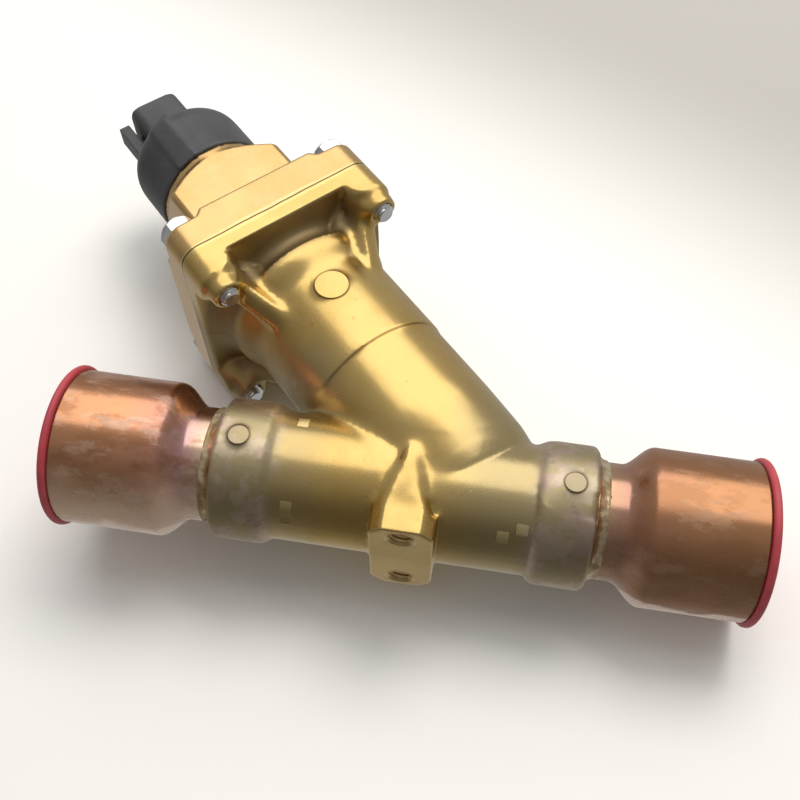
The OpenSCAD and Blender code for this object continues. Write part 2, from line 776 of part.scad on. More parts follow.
valve_body();
inlet_stub();
outlet_stub();
inlet_braze();
outlet_braze();
inlet_plug();
outlet_plug();
bonnet();
flange_bolts();
flange_o_ring();
seat_ring();
guide_sleeve();
guide_key();
piston();
piston_seal();
piston_wear_ring();
drive_nut();
nut_circlip();
lead_screw();
bearing_outer_ring();
bearing_inner_ring();
bearing_balls();
rotor_hub();
rotor_magnet();
motor_can();
can_o_ring();
upper_bush();
stator_poles();
lower_bobbin();
upper_bobbin();
lower_winding();
upper_winding();
motor_cap();
cap_o_ring();
contact_pins();
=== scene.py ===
# %% [markdown]
# # Dressing an electronic expansion valve
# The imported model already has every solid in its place. This lesson gives the
# valve its skin: softened forgings, spun copper, braze beads, bolt threads and
# a finish for each material. Lengths are metres in the model's own frame: X
# runs along the ports, Y towards the motor and Z up. Sizes are written in
# millimetres, and MM makes metres of them.

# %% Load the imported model
import json
from math import atan2, copysign, cos, degrees, hypot, pi, radians, sin

import bmesh
import bpy
import numpy as np
from mathutils import Matrix, Vector, noise


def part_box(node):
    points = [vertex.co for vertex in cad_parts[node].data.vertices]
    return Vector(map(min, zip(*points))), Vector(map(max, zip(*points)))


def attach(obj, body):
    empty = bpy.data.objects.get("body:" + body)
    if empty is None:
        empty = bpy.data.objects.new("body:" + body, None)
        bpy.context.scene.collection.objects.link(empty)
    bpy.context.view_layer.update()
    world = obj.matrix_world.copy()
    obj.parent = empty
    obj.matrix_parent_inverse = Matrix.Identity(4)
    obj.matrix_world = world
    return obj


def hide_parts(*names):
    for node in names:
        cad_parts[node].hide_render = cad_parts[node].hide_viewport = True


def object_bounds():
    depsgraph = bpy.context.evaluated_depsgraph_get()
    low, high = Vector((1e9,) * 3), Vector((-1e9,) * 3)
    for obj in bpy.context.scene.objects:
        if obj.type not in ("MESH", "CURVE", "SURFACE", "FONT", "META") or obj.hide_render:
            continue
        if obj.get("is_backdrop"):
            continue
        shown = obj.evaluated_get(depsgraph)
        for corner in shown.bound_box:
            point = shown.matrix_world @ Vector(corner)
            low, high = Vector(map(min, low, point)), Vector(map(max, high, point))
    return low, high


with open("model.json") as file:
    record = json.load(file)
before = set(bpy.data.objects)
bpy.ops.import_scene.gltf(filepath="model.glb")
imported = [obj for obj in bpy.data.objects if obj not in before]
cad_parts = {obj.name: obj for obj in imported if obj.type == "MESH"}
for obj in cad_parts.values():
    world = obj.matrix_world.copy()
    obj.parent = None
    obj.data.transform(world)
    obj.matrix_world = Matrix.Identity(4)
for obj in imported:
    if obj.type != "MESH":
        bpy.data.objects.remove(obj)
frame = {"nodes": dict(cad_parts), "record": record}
cad_low, cad_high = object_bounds()
scene = bpy.context.scene
MM = 0.001
print("nodes loaded:", len(frame["nodes"]))

# %% [markdown]
# ## Camera
# The photograph looks down on the valve from the side of its fixing boss. The
# numbers come from fitting a camera to the rims of the copper bells, the flange
# and the hub, so they are written down here rather than aimed by eye. The
# Standard view transform keeps the brass highlights as yellow as a phone shows them.

# %% Camera
camera_data = bpy.data.cameras.new("photo_camera")
camera_data.lens = 43.98
camera_data.sensor_width = 36
camera_data.clip_start = 0.01
camera = bpy.data.objects.new("photo_camera", camera_data)
camera.location = (0.0199, -0.1267, 0.3223)
camera.rotation_euler = [radians(a) for a in (30.96, -0.04, 9.03)]
scene.collection.objects.link(camera)
scene.camera = camera
scene.view_settings.view_transform = "Standard"
print("camera stands", round(camera.location.length, 3), "m from the fixing face")

# %% [markdown]
# ## Places read from the model
# Every piece is set by the two axes that the valve is built on: the port axis
# and the axis of the leg. Both come from the joints in the record, and the ends
# of the parts are read off the solids, so the dressing follows the model. A few
# radii and the struck pads are set here once, for the finishes and the shapes alike.

# %% Axes and stations
joints = {joint["name"]: joint for joint in frame["record"]["behaviour"]["joints"]}
BRANCH = Vector(joints["rotor_spin"]["pos_m"])
LEG_UP = Vector(joints["piston_travel"]["axis"]).normalized()
LEG_SIDE = Vector((LEG_UP.y, -LEG_UP.x, 0))
X_AXIS, Y_AXIS, UP = Vector((1, 0, 0)), Vector((0, 1, 0)), Vector((0, 0, 1))


def place(origin, x, y, z):
    """The matrix that puts a piece's own x, y and z along these directions."""
    matrix = Matrix((x, y, z)).transposed().to_4x4()
    matrix.translation = origin
    return matrix


def leg_place(point):
    """Distances of a point up the leg and away from the leg's axis."""
    local = point - BRANCH
    up = local.dot(LEG_UP)
    return up, (local - LEG_UP * up).length


def run_place(point):
    """Distance of a point away from the port axis."""
    return hypot(point.y - BRANCH.y, point.z)


def leg_span(node):
    """The lowest and the highest place along the leg that a node reaches."""
    ups = [leg_place(v.co)[0] for v in frame["nodes"][node].data.vertices]
    return min(ups), max(ups)


JOINT_PLANE, HUB_END = leg_span("bonnet")
BOLT_TIP, HEAD_TOP = leg_span("flange_bolts")
PINS_LOW, PINS_HIGH = leg_span("contact_pins")
INLET_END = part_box("inlet_braze")[1].x
OUTLET_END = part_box("outlet_braze")[0].x
ON_LEG = place(BRANCH, UP, LEG_SIDE, LEG_UP)
INTO_LEG = ON_LEG.inverted()
AT_INLET = place(Vector((INLET_END, BRANCH.y, 0)), UP, Y_AXIS, X_AXIS * -1)
AT_OUTLET = place(Vector((OUTLET_END, BRANCH.y, 0)), UP, Y_AXIS * -1, X_AXIS)
RUN_MIDDLE = (INLET_END + OUTLET_END) / 2
stations = (JOINT_PLANE, HUB_END, BOLT_TIP)
print("joint plane, hub end and bolt tips, mm up the leg:", [round(x / MM, 1) for x in stations])

# %% Radii and struck pads
DIE_STEP = 63.3 * MM
BELL_R, LEG_R, COLLAR_R, TUBE_R = 28.5, 31.0, 26.0, 23.5
PAD_UP, PAD_R, PAD_RISE = 92.5, 6.5, 0.55
DOT_IN, DOT_R, DOT_RISE = 8.8, 3.75, 0.75
PADS = [  # centre on the axis below, radius and height above the axis in mm
    (BRANCH + LEG_UP * PAD_UP * MM, PAD_R, LEG_R + PAD_RISE),
    (Vector((INLET_END + DOT_IN * MM, BRANCH.y, 0)), DOT_R, COLLAR_R + DOT_RISE),
    (Vector((OUTLET_END - DOT_IN * MM, BRANCH.y, 0)), DOT_R, COLLAR_R + DOT_RISE),
]
print("struck pads:", len(PADS))

# %% [markdown]
# ## Helpers for shader nodes
# A finish is a small tree of nodes. Writing `nodes.new` and `links.new` for
# each one hides what the finish does, so a few short helpers carry that: a
# value given to them is set on the socket, and a socket given to them is linked.

# %% Node helpers
def wire(tree, value, socket):
    """Links a socket to another, or sets it to a plain value; a colour needs no alpha."""
    if isinstance(value, bpy.types.NodeSocket):
        tree.links.new(value, socket)
    elif socket.type == "RGBA":
        socket.default_value = (*value, 1.0)
    else:
        socket.default_value = value


def add(tree, kind, **inputs):
    """A new node, with its named sockets set or linked."""
    made = tree.nodes.new("ShaderNode" + kind)
    for name, value in inputs.items():
        wire(tree, value, made.inputs[name.replace("_", " ")])
    return made


def calc(tree, operation, *values):
    made = tree.nodes.new("ShaderNodeMath")
    made.operation = operation
    for socket, value in zip(made.inputs, values):
        wire(tree, value, socket)
    return made.outputs[0]


def minus(tree, first, second):
    return calc(tree, "SUBTRACT", first, second)


def plus(tree, value, share, base):
    """The base and a share of the value."""
    return calc(tree, "MULTIPLY_ADD", value, share, base)


def times(tree, *masks):
    """A mask that shows only where both masks do, or one mask at a share of its strength."""
    return calc(tree, "MULTIPLY", *masks)


def either(tree, *masks):
    """A mask that shows where one of the two does."""
    return calc(tree, "MAXIMUM", *masks)


def tint(tree, factor, first, second, kind="MIX"):
    """The second colour laid over the first where factor is 1."""
    made = tree.nodes.new("ShaderNodeMix")
    made.data_type = "RGBA"
    made.blend_type = kind
    for index, value in ((0, factor), (6, first), (7, second)):
        wire(tree, value, made.inputs[index])
    return made.outputs[2]


def fade(tree, value, low, high):
    """0 below low, 1 above high and a soft step between; low may be the larger."""
    made = tree.nodes.new("ShaderNodeMapRange")
    made.interpolation_type = "SMOOTHSTEP"
    for name, number in (("Value", value), ("From Min", low), ("From Max", high)):
        wire(tree, number, made.inputs[name])
    return made.outputs["Result"]


def clouds(tree, where, scale, detail=3.0, roughness=0.55):
    made = add(tree, "TexNoise", Vector=where, Scale=scale, Detail=detail, Roughness=roughness)
    return made.outputs["Fac"]


def wobble(tree, where, scale, detail=3.0, roughness=0.55):
    """Clouds about 0, to move an edge to and fro."""
    return minus(tree, clouds(tree, where, scale, detail, roughness), 0.5)


def split(tree, vector):
    made = tree.nodes.new("ShaderNodeSeparateXYZ")
    wire(tree, vector, made.inputs[0])
    return made.outputs


# %% [markdown]
# ## Shared effects as node groups
# Three effects turn up on more than one material. *Metal skin* gives the slow
# patches, the fine blasted grain and the few dark flecks of worked metal. *Edge
# and hollow* reads a `relief` value stored on the mesh and says where edges are
# rubbed bright and where hollows stay dark. *Joint heat* says how far a point is
# from the nearest brazed joint, because that is where copper and brass change
# colour. The groups put out masks and distances, and the colours stay in the materials.

# %% Node groups
def new_group(name, inputs, outputs):
    group = bpy.data.node_groups.new(name, "ShaderNodeTree")
    for label, kind, start in inputs:
        socket = group.interface.new_socket(label, in_out="INPUT", socket_type="NodeSocket" + kind)
        if start is not None:
            socket.default_value = start
    for label in outputs:
        group.interface.new_socket(label, in_out="OUTPUT", socket_type="NodeSocketFloat")
    return group, group.nodes.new("NodeGroupInput").outputs, group.nodes.new("NodeGroupOutput").inputs


def metal_skin():
    group, given, out = new_group(
        "Metal skin",
        [("Vector", "Vector", None), ("Patch scale", "Float", 30.0), ("Grain scale", "Float", 2500.0)],
        ["Patches", "Grain", "Flecks"],
    )
    slow = clouds(group, given["Vector"], given["Patch scale"], 4.0, 0.6)
    wire(group, fade(group, slow, 0.36, 0.66), out["Patches"])
    wire(group, clouds(group, given["Vector"], given["Grain scale"], 2.0, 0.6), out["Grain"])
    fleck_scale = times(group, given["Patch scale"], 11.0)
    flecks = clouds(group, given["Vector"], fleck_scale, 2.0, 0.5)
    wire(group, fade(group, flecks, 0.69, 0.76), out["Flecks"])
    return group


def edge_and_hollow():
    group, given, out = new_group(
        "Edge and hollow",
        [("Vector", "Vector", None), ("Relief", "Float", 0.0)],
        ["Edge", "Hollow"],
    )
    worn = plus(group, wobble(group, given["Vector"], 420.0, 3.0, 0.6), 0.5, given["Relief"])
    wire(group, fade(group, worn, 0.12, 0.75), out["Edge"])
    sunk = times(group, given["Relief"], -1.0)
    wire(group, fade(group, sunk, 0.08, 0.6), out["Hollow"])
    return group


def joint_heat():
    group, given, out = new_group(
        "Joint heat",
        [("Vector", "Vector", None), ("Reach", "Float", 0.02)],
        ["Heat", "Outward"],
    )
    at = split(group, given["Vector"])
    along = calc(group, "ABSOLUTE", minus(group, at["X"], RUN_MIDDLE))
    outward = minus(group, along, (OUTLET_END - INLET_END) / 2)
    near = calc(group, "ABSOLUTE", plus(group, wobble(group, given["Vector"], 70.0), 16 * MM, outward))
    on_run = fade(group, at["Y"], 66 * MM, 56 * MM)
    heat = fade(group, calc(group, "DIVIDE", near, given["Reach"]), 1.0, 0.0)
    wire(group, times(group, heat, on_run), out["Heat"])
    wire(group, outward, out["Outward"])
    return group


METAL_SKIN, EDGE_AND_HOLLOW, JOINT_HEAT = metal_skin(), edge_and_hollow(), joint_heat()
print("node groups:", [g.name for g in bpy.data.node_groups])

# %% [markdown]
# ## What every finish starts from
# Each finish is one Principled shader fed by masks. The masks are worked out from
# Object coordinates, which here are places in the model's own frame in metres, so
# a line or a stain lands at a known spot on the valve and nothing is unwrapped.

# %% Starting and closing a material
def start(name):
    """A material, its tree and its object coordinates."""
    material = bpy.data.materials.new(name)
    material.use_nodes = True
    tree = material.node_tree
    return material, tree, tree.nodes.new("ShaderNodeTexCoord").outputs["Object"]


def use(tree, group, **inputs):
    """A node group placed in a tree, with its named inputs set or linked."""
    made = tree.nodes.new("ShaderNodeGroup")
    made.node_tree = group
    for name, value in inputs.items():
        wire(tree, value, made.inputs[name.replace("_", " ")])
    return made.outputs


def coat(tree, colour, *coats):
    """A colour under further coats; each has a mask, its largest share, a colour and maybe a way to mix."""
    for mask, share, over, *kind in coats:
        colour = tint(tree, times(tree, mask, share), colour, over, *kind)
    return colour


def relief(tree):
    made = tree.nodes.new("ShaderNodeAttribute")
    made.attribute_name = "relief"
    return made.outputs["Fac"]


def close(material, colour, rough, metallic, height=None, depth=0.0, strength=1.0):
    """Feeds a material's shader, with a bump of this depth in metres where there is a height."""
    tree = material.node_tree
    shader = tree.nodes["Principled BSDF"].inputs
    for name, value in (("Base Color", colour), ("Roughness", rough), ("Metallic", metallic)):
        wire(tree, value, shader[name])
    if height is not None:
        bump = add(tree, "Bump", Height=height, Strength=strength, Distance=depth)
        wire(tree, bump.outputs["Normal"], shader["Normal"])
    return material


# %% [markdown]
# ## Lines and painted shade on the forging
# The die and the joint leave dark lines on the brass: where bonnet and body meet,
# where the die's halves met, and round each struck pad. The hollow behind the flange
# and the leg's lower flank get painted shade, and the hollow stays duller, because nothing
# rubs it. An image could hold all this, but distances from the valve's own axes stay sharp at any size, so
# each is a small function.

# %% Masks by distance
LEG_TURN = (0.0, 0.0, radians(-45))


def leg_coordinates(tree, where):
    """Coordinates turned so that their Y runs up the leg."""
    turned = add(tree, "Mapping", Vector=where, Rotation=LEG_TURN)
    return split(tree, turned.outputs["Vector"])


def along_leg(tree, where):
    """Distance of each point up the leg, in metres from the model's origin."""
    return leg_coordinates(tree, where)["Y"]


def line_at(tree, value, place, half):
    """A mask that is 1 on a line where value equals place and 0 beyond half on each side."""
    off = calc(tree, "ABSOLUTE", minus(tree, value, place))
    return fade(tree, off, half, half * 0.3)


def apart(tree, x, y):
    """Length of the vector (x, y)."""
    return calc(tree, "SQRT", calc(tree, "ADD", times(tree, x, x), times(tree, y, y)))


def from_pad(tree, at, spot):
    """Distance of each point from the upright line through a pad's middle."""
    return apart(tree, minus(tree, at["X"], spot.x), minus(tree, at["Y"], spot.y))


# %% Lines of joint and die, and painted shade in the hollow
def joint_line(tree, where):
    """A mask of the dark line where bonnet and body meet, here thicker and there thinner."""
    up = plus(tree, wobble(tree, where, 90.0), 0.9 * MM, along_leg(tree, where))
    return line_at(tree, up, BRANCH.dot(LEG_UP) + JOINT_PLANE, 0.55 * MM)


def die_lines(tree, where):
    """A mask of a line round the leg, a ring round each pad and the flash line at half height."""
    at = split(tree, where)
    from_run = apart(tree, minus(tree, at["Y"], BRANCH.y), at["Z"])
    off_run = fade(tree, from_run, 26.6 * MM, 28 * MM)
    on_top = fade(tree, at["Z"], 18 * MM, 24 * MM)
    step = line_at(tree, along_leg(tree, where), BRANCH.dot(LEG_UP) + DIE_STEP, 0.7 * MM)
    lines = times(tree, step, off_run)
    for spot, radius, _ in PADS:
        ring = line_at(tree, from_pad(tree, at, spot), (radius + 0.2) * MM, 0.55 * MM)
        lines = either(tree, lines, ring)
    flash = times(tree, line_at(tree, at["Z"], 0.0, 0.5 * MM), off_run)
    return either(tree, times(tree, lines, on_top), flash)


def shade_behind_flange(tree, where):
    """A mask of painted shade: the hollow between swell and flange, and weaker the leg's lower flank."""
    turned = leg_coordinates(tree, where)
    away = apart(tree, minus(tree, turned["X"], BRANCH.dot(LEG_SIDE)), turned["Z"])
    up = minus(tree, turned["Y"], BRANCH.dot(LEG_UP))
    past_swell = fade(tree, up, 110 * MM, 115 * MM)
    short_of_flange = fade(tree, up, 122.6 * MM, 121.6 * MM)
    near_leg = fade(tree, away, 50 * MM, 41 * MM)
    hollow = times(tree, times(tree, past_swell, short_of_flange), near_leg)
    # Painted shade, weaker, on the leg's lower side past its foot.
    shaded_low_flank = fade(tree, turned["Z"], 24 * MM, 0.0)
    past_foot = fade(tree, up, 40 * MM, 60 * MM)
    return either(tree, hollow, times(tree, times(tree, shaded_low_flank, past_foot), 0.8))


# %% [markdown]
# ## Forged brass
# The body is hot-forged and blasted: a satin gold with a fine grain, and edges
# rubbed brighter by handling. When the copper was brazed in, the port tubes went
# olive and the collars dull, pinkish and sooty. On top of that goes painted shade in
# the hollow behind the flange and on the leg's lower flank. One material holds all of that,
# because on the real part it is one piece of metal; masks decide where each shows.

# %% Brass that the brazing heated
def olive_tubes(tree, at):
    """A mask of the port tubes, weaker on the inlet's side."""
    inlet = times(tree, fade(tree, at["X"], -24 * MM, -42 * MM), 0.7)
    outlet = fade(tree, at["X"], 4 * MM, 30 * MM)
    on_run = fade(tree, at["Y"], 74 * MM, 60 * MM)
    return times(tree, either(tree, inlet, outlet), on_run)


def scorched_brass(tree, where, at):
    """The colour of the collars, with pale scale, soot, dull pads and the die's lines."""
    stain = fade(tree, clouds(tree, where, 75.0, 5.0, 0.65), 0.46, 0.60)
    pale = fade(tree, clouds(tree, where, 95.0, 5.0, 0.6), 0.50, 0.59)
    soot = fade(tree, clouds(tree, where, 150.0, 5.0, 0.65), 0.60, 0.68)
    struck = [fade(tree, from_pad(tree, at, spot), (r + 0.3) * MM, r * MM) for spot, r, _ in PADS[1:]]
    return coat(
        tree, tint(tree, stain, (0.47, 0.39, 0.23), (0.56, 0.42, 0.35)),
        (pale, 0.6, (0.68, 0.57, 0.45)),
        (soot, 0.5, (0.26, 0.20, 0.13)),
        *((pad, 0.6, (0.36, 0.30, 0.19)) for pad in struck),
        (die_lines(tree, where), 0.7, (0.16, 0.11, 0.06)),
    )


# %% Forged brass
def forged_brass():
    material, tree, where = start("forged_brass")
    skin = use(tree, METAL_SKIN, Vector=where, Patch_scale=26.0, Grain_scale=2600.0)
    wear = use(tree, EDGE_AND_HOLLOW, Vector=where, Relief=relief(tree))
    heat = use(tree, JOINT_HEAT, Vector=where, Reach=34 * MM)
    at = split(tree, where)
    # Painted shade in the hollow behind the flange and on the lower flank; there the brass is also rougher.
    shaded_and_dull = shade_behind_flange(tree, where)
    dull = fade(tree, heat["Heat"], 0.10, 0.42)
    colour = coat(
        tree, tint(tree, skin["Patches"], (0.61, 0.41, 0.135), (0.71, 0.50, 0.185)),
        (skin["Flecks"], 0.3, (0.34, 0.21, 0.06)),
        (wear["Hollow"], 0.6, (0.40, 0.26, 0.07)),
        (wear["Edge"], 0.5, (0.86, 0.68, 0.31)),
        (die_lines(tree, where), 0.75, (0.20, 0.11, 0.03)),
        (joint_line(tree, where), 0.85, (0.09, 0.05, 0.02)),
        # painted shade in the hollow and on the lower flank
        (shaded_and_dull, 0.8, (0.33, 0.26, 0.15)),
        (olive_tubes(tree, at), 0.6, (0.47, 0.41, 0.25)),
        (dull, 0.85, scorched_brass(tree, where, at)),
    )
    rough = plus(tree, skin["Patches"], -0.05, 0.25)
    for mask, share in ((skin["Grain"], 0.08), (shaded_and_dull, 0.28), (dull, 0.14)):
        rough = plus(tree, mask, share, rough)
    return close(material, colour, rough, 1.0, skin["Grain"], 0.08 * MM, 0.22)


# %% [markdown]
# ## Turned brass
# The bonnet's hub and neck, the piston and the sleeve come off a lathe. They are
# brighter than the forging and carry fine rings round the leg's axis. A Mapping
# node turns the coordinates so that their Y runs along the leg, and a wave along
# that Y makes the rings.

# %% Turned brass
TOOL_STEP = 0.35 * MM


def rings(tree, where, pitch):
    """Waves up the leg, such as a tool's marks or the single wires of a winding."""
    return calc(tree, "SINE", times(tree, along_leg(tree, where), 2 * pi / pitch))


def turned_brass():
    material, tree, where = start("turned_brass")
    skin = use(tree, METAL_SKIN, Vector=where, Patch_scale=34.0, Grain_scale=3000.0)
    wear = use(tree, EDGE_AND_HOLLOW, Vector=where, Relief=relief(tree))
    blush = fade(tree, clouds(tree, where, 48.0, 4.0, 0.6), 0.50, 0.66)
    colour = coat(
        tree, tint(tree, skin["Patches"], (0.65, 0.42, 0.17), (0.73, 0.495, 0.22)),
        (blush, 0.5, (0.76, 0.48, 0.24)),
        (skin["Flecks"], 0.3, (0.44, 0.27, 0.09)),
        (wear["Hollow"], 0.5, (0.46, 0.29, 0.09)),
        (wear["Edge"], 0.45, (0.90, 0.72, 0.37)),
        (joint_line(tree, where), 0.85, (0.09, 0.05, 0.02)),
    )
    height = plus(tree, rings(tree, where, TOOL_STEP), 0.12, skin["Grain"])
    rough = plus(tree, skin["Grain"], 0.12, 0.22)
    return close(material, colour, rough, 1.0, height, 0.06 * MM, 0.3)


# %% [markdown]
# ## Copper
# The reducers were drawn bright and then heated at the neck. From the joint
# outwards the oxide goes from pale gold through pink to orange-brown, with
# darker stains where flux ran. The distance from the joint picks the colour. The
# low front side of the tubes gets painted light: a pale, dull painted reflection on
# the inlet, a painted brown shade on the outlet, and below both a pale painted
# reflection of the table.

# %% Copper
def ramp(tree, value, stops):
    made = tree.nodes.new("ShaderNodeValToRGB")
    wire(tree, value, made.inputs["Fac"])
    band = made.color_ramp
    while len(band.elements) < len(stops):
        band.elements.new(0.5)
    for element, (spot, colour) in zip(band.elements, stops):
        element.position = spot
        element.color = (*colour, 1.0)
    return made.outputs["Color"]


# Way from a tube's axis to its low front side, where the painted shade and reflections lie, as shares of Y
# and Z.
LOW_Y, LOW_Z = -0.77, -0.64
OXIDE_REACH = 58 * MM
OXIDES = [  # share of the reach, from the joint outwards
    (0.0, (0.80, 0.66, 0.46)), (0.10, (0.74, 0.52, 0.39)), (0.20, (0.62, 0.36, 0.35)),
    (0.33, (0.62, 0.30, 0.20)), (0.58, (0.66, 0.32, 0.165)), (0.85, (0.62, 0.30, 0.16)),
]


def copper():
    material, tree, where = start("copper")
    skin = use(tree, METAL_SKIN, Vector=where, Patch_scale=40.0, Grain_scale=1800.0)
    heat = use(tree, JOINT_HEAT, Vector=where, Reach=50 * MM)
    at = split(tree, where)
    wander = wobble(tree, where, 45.0, 4.0)
    drift = plus(tree, wander, 20 * MM, heat["Outward"])
    drawn = add(tree, "Mapping", Vector=where, Scale=(0.45, 1.0, 1.0)).outputs["Vector"]
    stain = fade(tree, clouds(tree, drawn, 85.0, 6.0, 0.70), 0.46, 0.60)
    pale = fade(tree, clouds(tree, drawn, 120.0, 6.0, 0.68), 0.53, 0.64)
    outlet = fade(tree, at["X"], -20 * MM, 20 * MM)
    inlet = plus(tree, outlet, -0.75, 1.0)
    low = times(tree, minus(tree, at["Y"], BRANCH.y), LOW_Y / (BELL_R * MM))
    low = plus(tree, at["Z"], LOW_Z / (BELL_R * MM), low)
    low = plus(tree, wander, 0.6, low)
    # Painted light on the low front side: a pale dull reflection on the inlet, brown shade on the outlet and
    # a pale reflection of the table along the bottom edge.
    painted_low_reflection = times(tree, fade(tree, low, -0.15, 0.6), inlet)
    painted_low_shade = times(tree, fade(tree, low, 0.35, 0.6), outlet)
    painted_table_reflection = fade(tree, low, 0.76, 0.84)
    colour = coat(
        tree, ramp(tree, calc(tree, "DIVIDE", drift, OXIDE_REACH), OXIDES),
        (stain, 0.62, (0.38, 0.17, 0.08)),
        (pale, 0.6, (0.74, 0.50, 0.37)),
        (skin["Flecks"], 0.3, (0.32, 0.14, 0.08)),
        (outlet, 0.6, (0.46, 0.23, 0.11)),
        # painted pale reflection low on the inlet
        (painted_low_reflection, 0.8, (0.60, 0.46, 0.34)),
        # painted brown shade low on the outlet
        (painted_low_shade, 0.6, (0.30, 0.15, 0.075)),
        # painted pale reflection of the table along the bottom edge
        (painted_table_reflection, 0.85, (0.84, 0.66, 0.54)),
    )
    rough = plus(tree, stain, 0.10, plus(tree, pale, 0.14, 0.21))
    # The painted reflections on the low side are also made less metallic.
    dull_painted_reflections = either(tree, times(tree, painted_low_reflection, 0.7), times(tree, painted_table_reflection, 0.75))
    return close(material, colour, rough, minus(tree, 1.0, dull_painted_reflections), skin["Grain"], 0.05 * MM, 0.3)


# %% [markdown]
# ## Braze alloy
# The filler froze quickly, with flux in it, so it is pale and dark in small patches
# and rough to the touch. Its finest lumps are too small to model, so a bump makes them.

# %% Braze alloy
def braze_alloy():
    material, tree, where = start("braze_alloy")
    skin = use(tree, METAL_SKIN, Vector=where, Patch_scale=160.0, Grain_scale=1500.0)
    colour = tint(tree, skin["Patches"], (0.46, 0.33, 0.17), (0.82, 0.68, 0.45))
    colour = coat(tree, colour, (skin["Flecks"], 0.6, (0.22, 0.14, 0.08)))
    rough = plus(tree, skin["Patches"], -0.16, 0.44)
    return close(material, colour, rough, 1.0, clouds(tree, where, 700.0), 0.25 * MM, 0.6)


# %% [markdown]
# ## Moulded plastics and rubber
# The cap is glass-filled plastic with a spark-eroded texture, the plugs are soft
# waxy polyethylene and the seals are rubber. All are one colour that drifts a
# little, a fine texture, and a rubbed edge, so one recipe takes their numbers.

# %% Moulded finishes
def moulded(name, dark, light, edge, rough, texture, depth):
    material, tree, where = start(name)
    skin = use(tree, METAL_SKIN, Vector=where, Patch_scale=55.0, Grain_scale=texture)
    wear = use(tree, EDGE_AND_HOLLOW, Vector=where, Relief=relief(tree))
    colour = coat(tree, tint(tree, skin["Patches"], dark, light), (wear["Edge"], 0.55, edge))
    rough = plus(tree, skin["Grain"], 0.2, rough - 0.1)
    return close(material, colour, rough, 0.0, skin["Grain"], depth, 0.5)


# %% [markdown]
# ## Steel, magnet and wire
# Most of these sit inside, but the bolts show and the rest appear when the parts
# are taken apart, so each gets its own colours, gloss and lines: rings for turned
# steel and single wires for the windings.

# %% Metal finishes inside
def worked_metal(name, dark, light, rough, metallic=1.0, pitch=None):
    material, tree, where = start(name)
    skin = use(tree, METAL_SKIN, Vector=where, Patch_scale=70.0, Grain_scale=2800.0)
    wear = use(tree, EDGE_AND_HOLLOW, Vector=where, Relief=relief(tree))
    colour = coat(
        tree, tint(tree, skin["Patches"], dark, light),
        (skin["Flecks"], 0.25, dark, "MULTIPLY"),
        (wear["Edge"], 0.4, (0.9, 0.9, 0.9), "SCREEN"),
    )
    rough = plus(tree, skin["Grain"], 0.16, rough - 0.08)
    height, depth = skin["Grain"], 0.03 * MM
    if pitch:
        height, depth = plus(tree, rings(tree, where, pitch), 0.5, height), 0.08 * MM
    return close(material, colour, rough, metallic, height, depth, 0.4)


# %% [markdown]
# ## One finish for each material
# The record names a material for every part. Each name gets its finish here, and
# the solids that stay as they are, inside the valve, get theirs at once.

# %% One finish for each material in the record
# The loaded model holds the bare names already, so a new material's name ends in a number.
FINISH = {made.name.partition(".")[0]: made for made in (
    forged_brass(),
    turned_brass(),
    copper(),
    braze_alloy(),
    moulded("red_plastic", (0.40, 0.045, 0.062), (0.48, 0.062, 0.078), (0.66, 0.20, 0.20),
            rough=0.45, texture=900.0, depth=0.04 * MM),
    moulded("black_plastic", (0.042, 0.042, 0.045), (0.058, 0.058, 0.062), (0.11, 0.11, 0.115),
            rough=0.42, texture=1900.0, depth=0.07 * MM),
    moulded("seal_rubber", (0.012, 0.012, 0.013), (0.025, 0.025, 0.026), (0.06, 0.06, 0.06),
            rough=0.6, texture=1500.0, depth=0.03 * MM),
    moulded("seal_plastic", (0.70, 0.67, 0.60), (0.80, 0.78, 0.72), (0.88, 0.87, 0.83),
            rough=0.4, texture=1200.0, depth=0.02 * MM),
    moulded("bobbin_plastic", (0.66, 0.62, 0.50), (0.76, 0.72, 0.60), (0.85, 0.82, 0.74),
            rough=0.45, texture=1200.0, depth=0.02 * MM),
    worked_metal("zinc_steel", (0.60, 0.61, 0.63), (0.78, 0.79, 0.80), 0.24),
    worked_metal("steel", (0.46, 0.47, 0.49), (0.62, 0.63, 0.65), 0.28, pitch=0.3 * MM),
    worked_metal("magnet", (0.035, 0.035, 0.038), (0.06, 0.06, 0.064), 0.5, metallic=0.2),
    worked_metal("winding_copper", (0.45, 0.17, 0.06), (0.58, 0.25, 0.10), 0.3, pitch=0.25 * MM),
    worked_metal("contact_metal", (0.62, 0.50, 0.22), (0.78, 0.68, 0.38), 0.22),
)}
for part in frame["record"]["subparts"]:
    surface = frame["nodes"][part["node"]].data.materials
    surface.clear()
    surface.append(FINISH[part["material_slot"]])
print("finishes:", len(FINISH))

# %% [markdown]
# ## Making pieces
# Each new piece starts in a bmesh, gets its place in its own mesh and rides on a
# body of the model. Two ways of shaping return again and again: spinning a
# profile, as a lathe does, and softening a copy of a forged solid. A piece that
# wears also stores its relief, which the finishes read to place that wear.

# %% Relief and finishing a piece
RELIEF_GAIN, RELIEF_ROUNDS = 6, 3


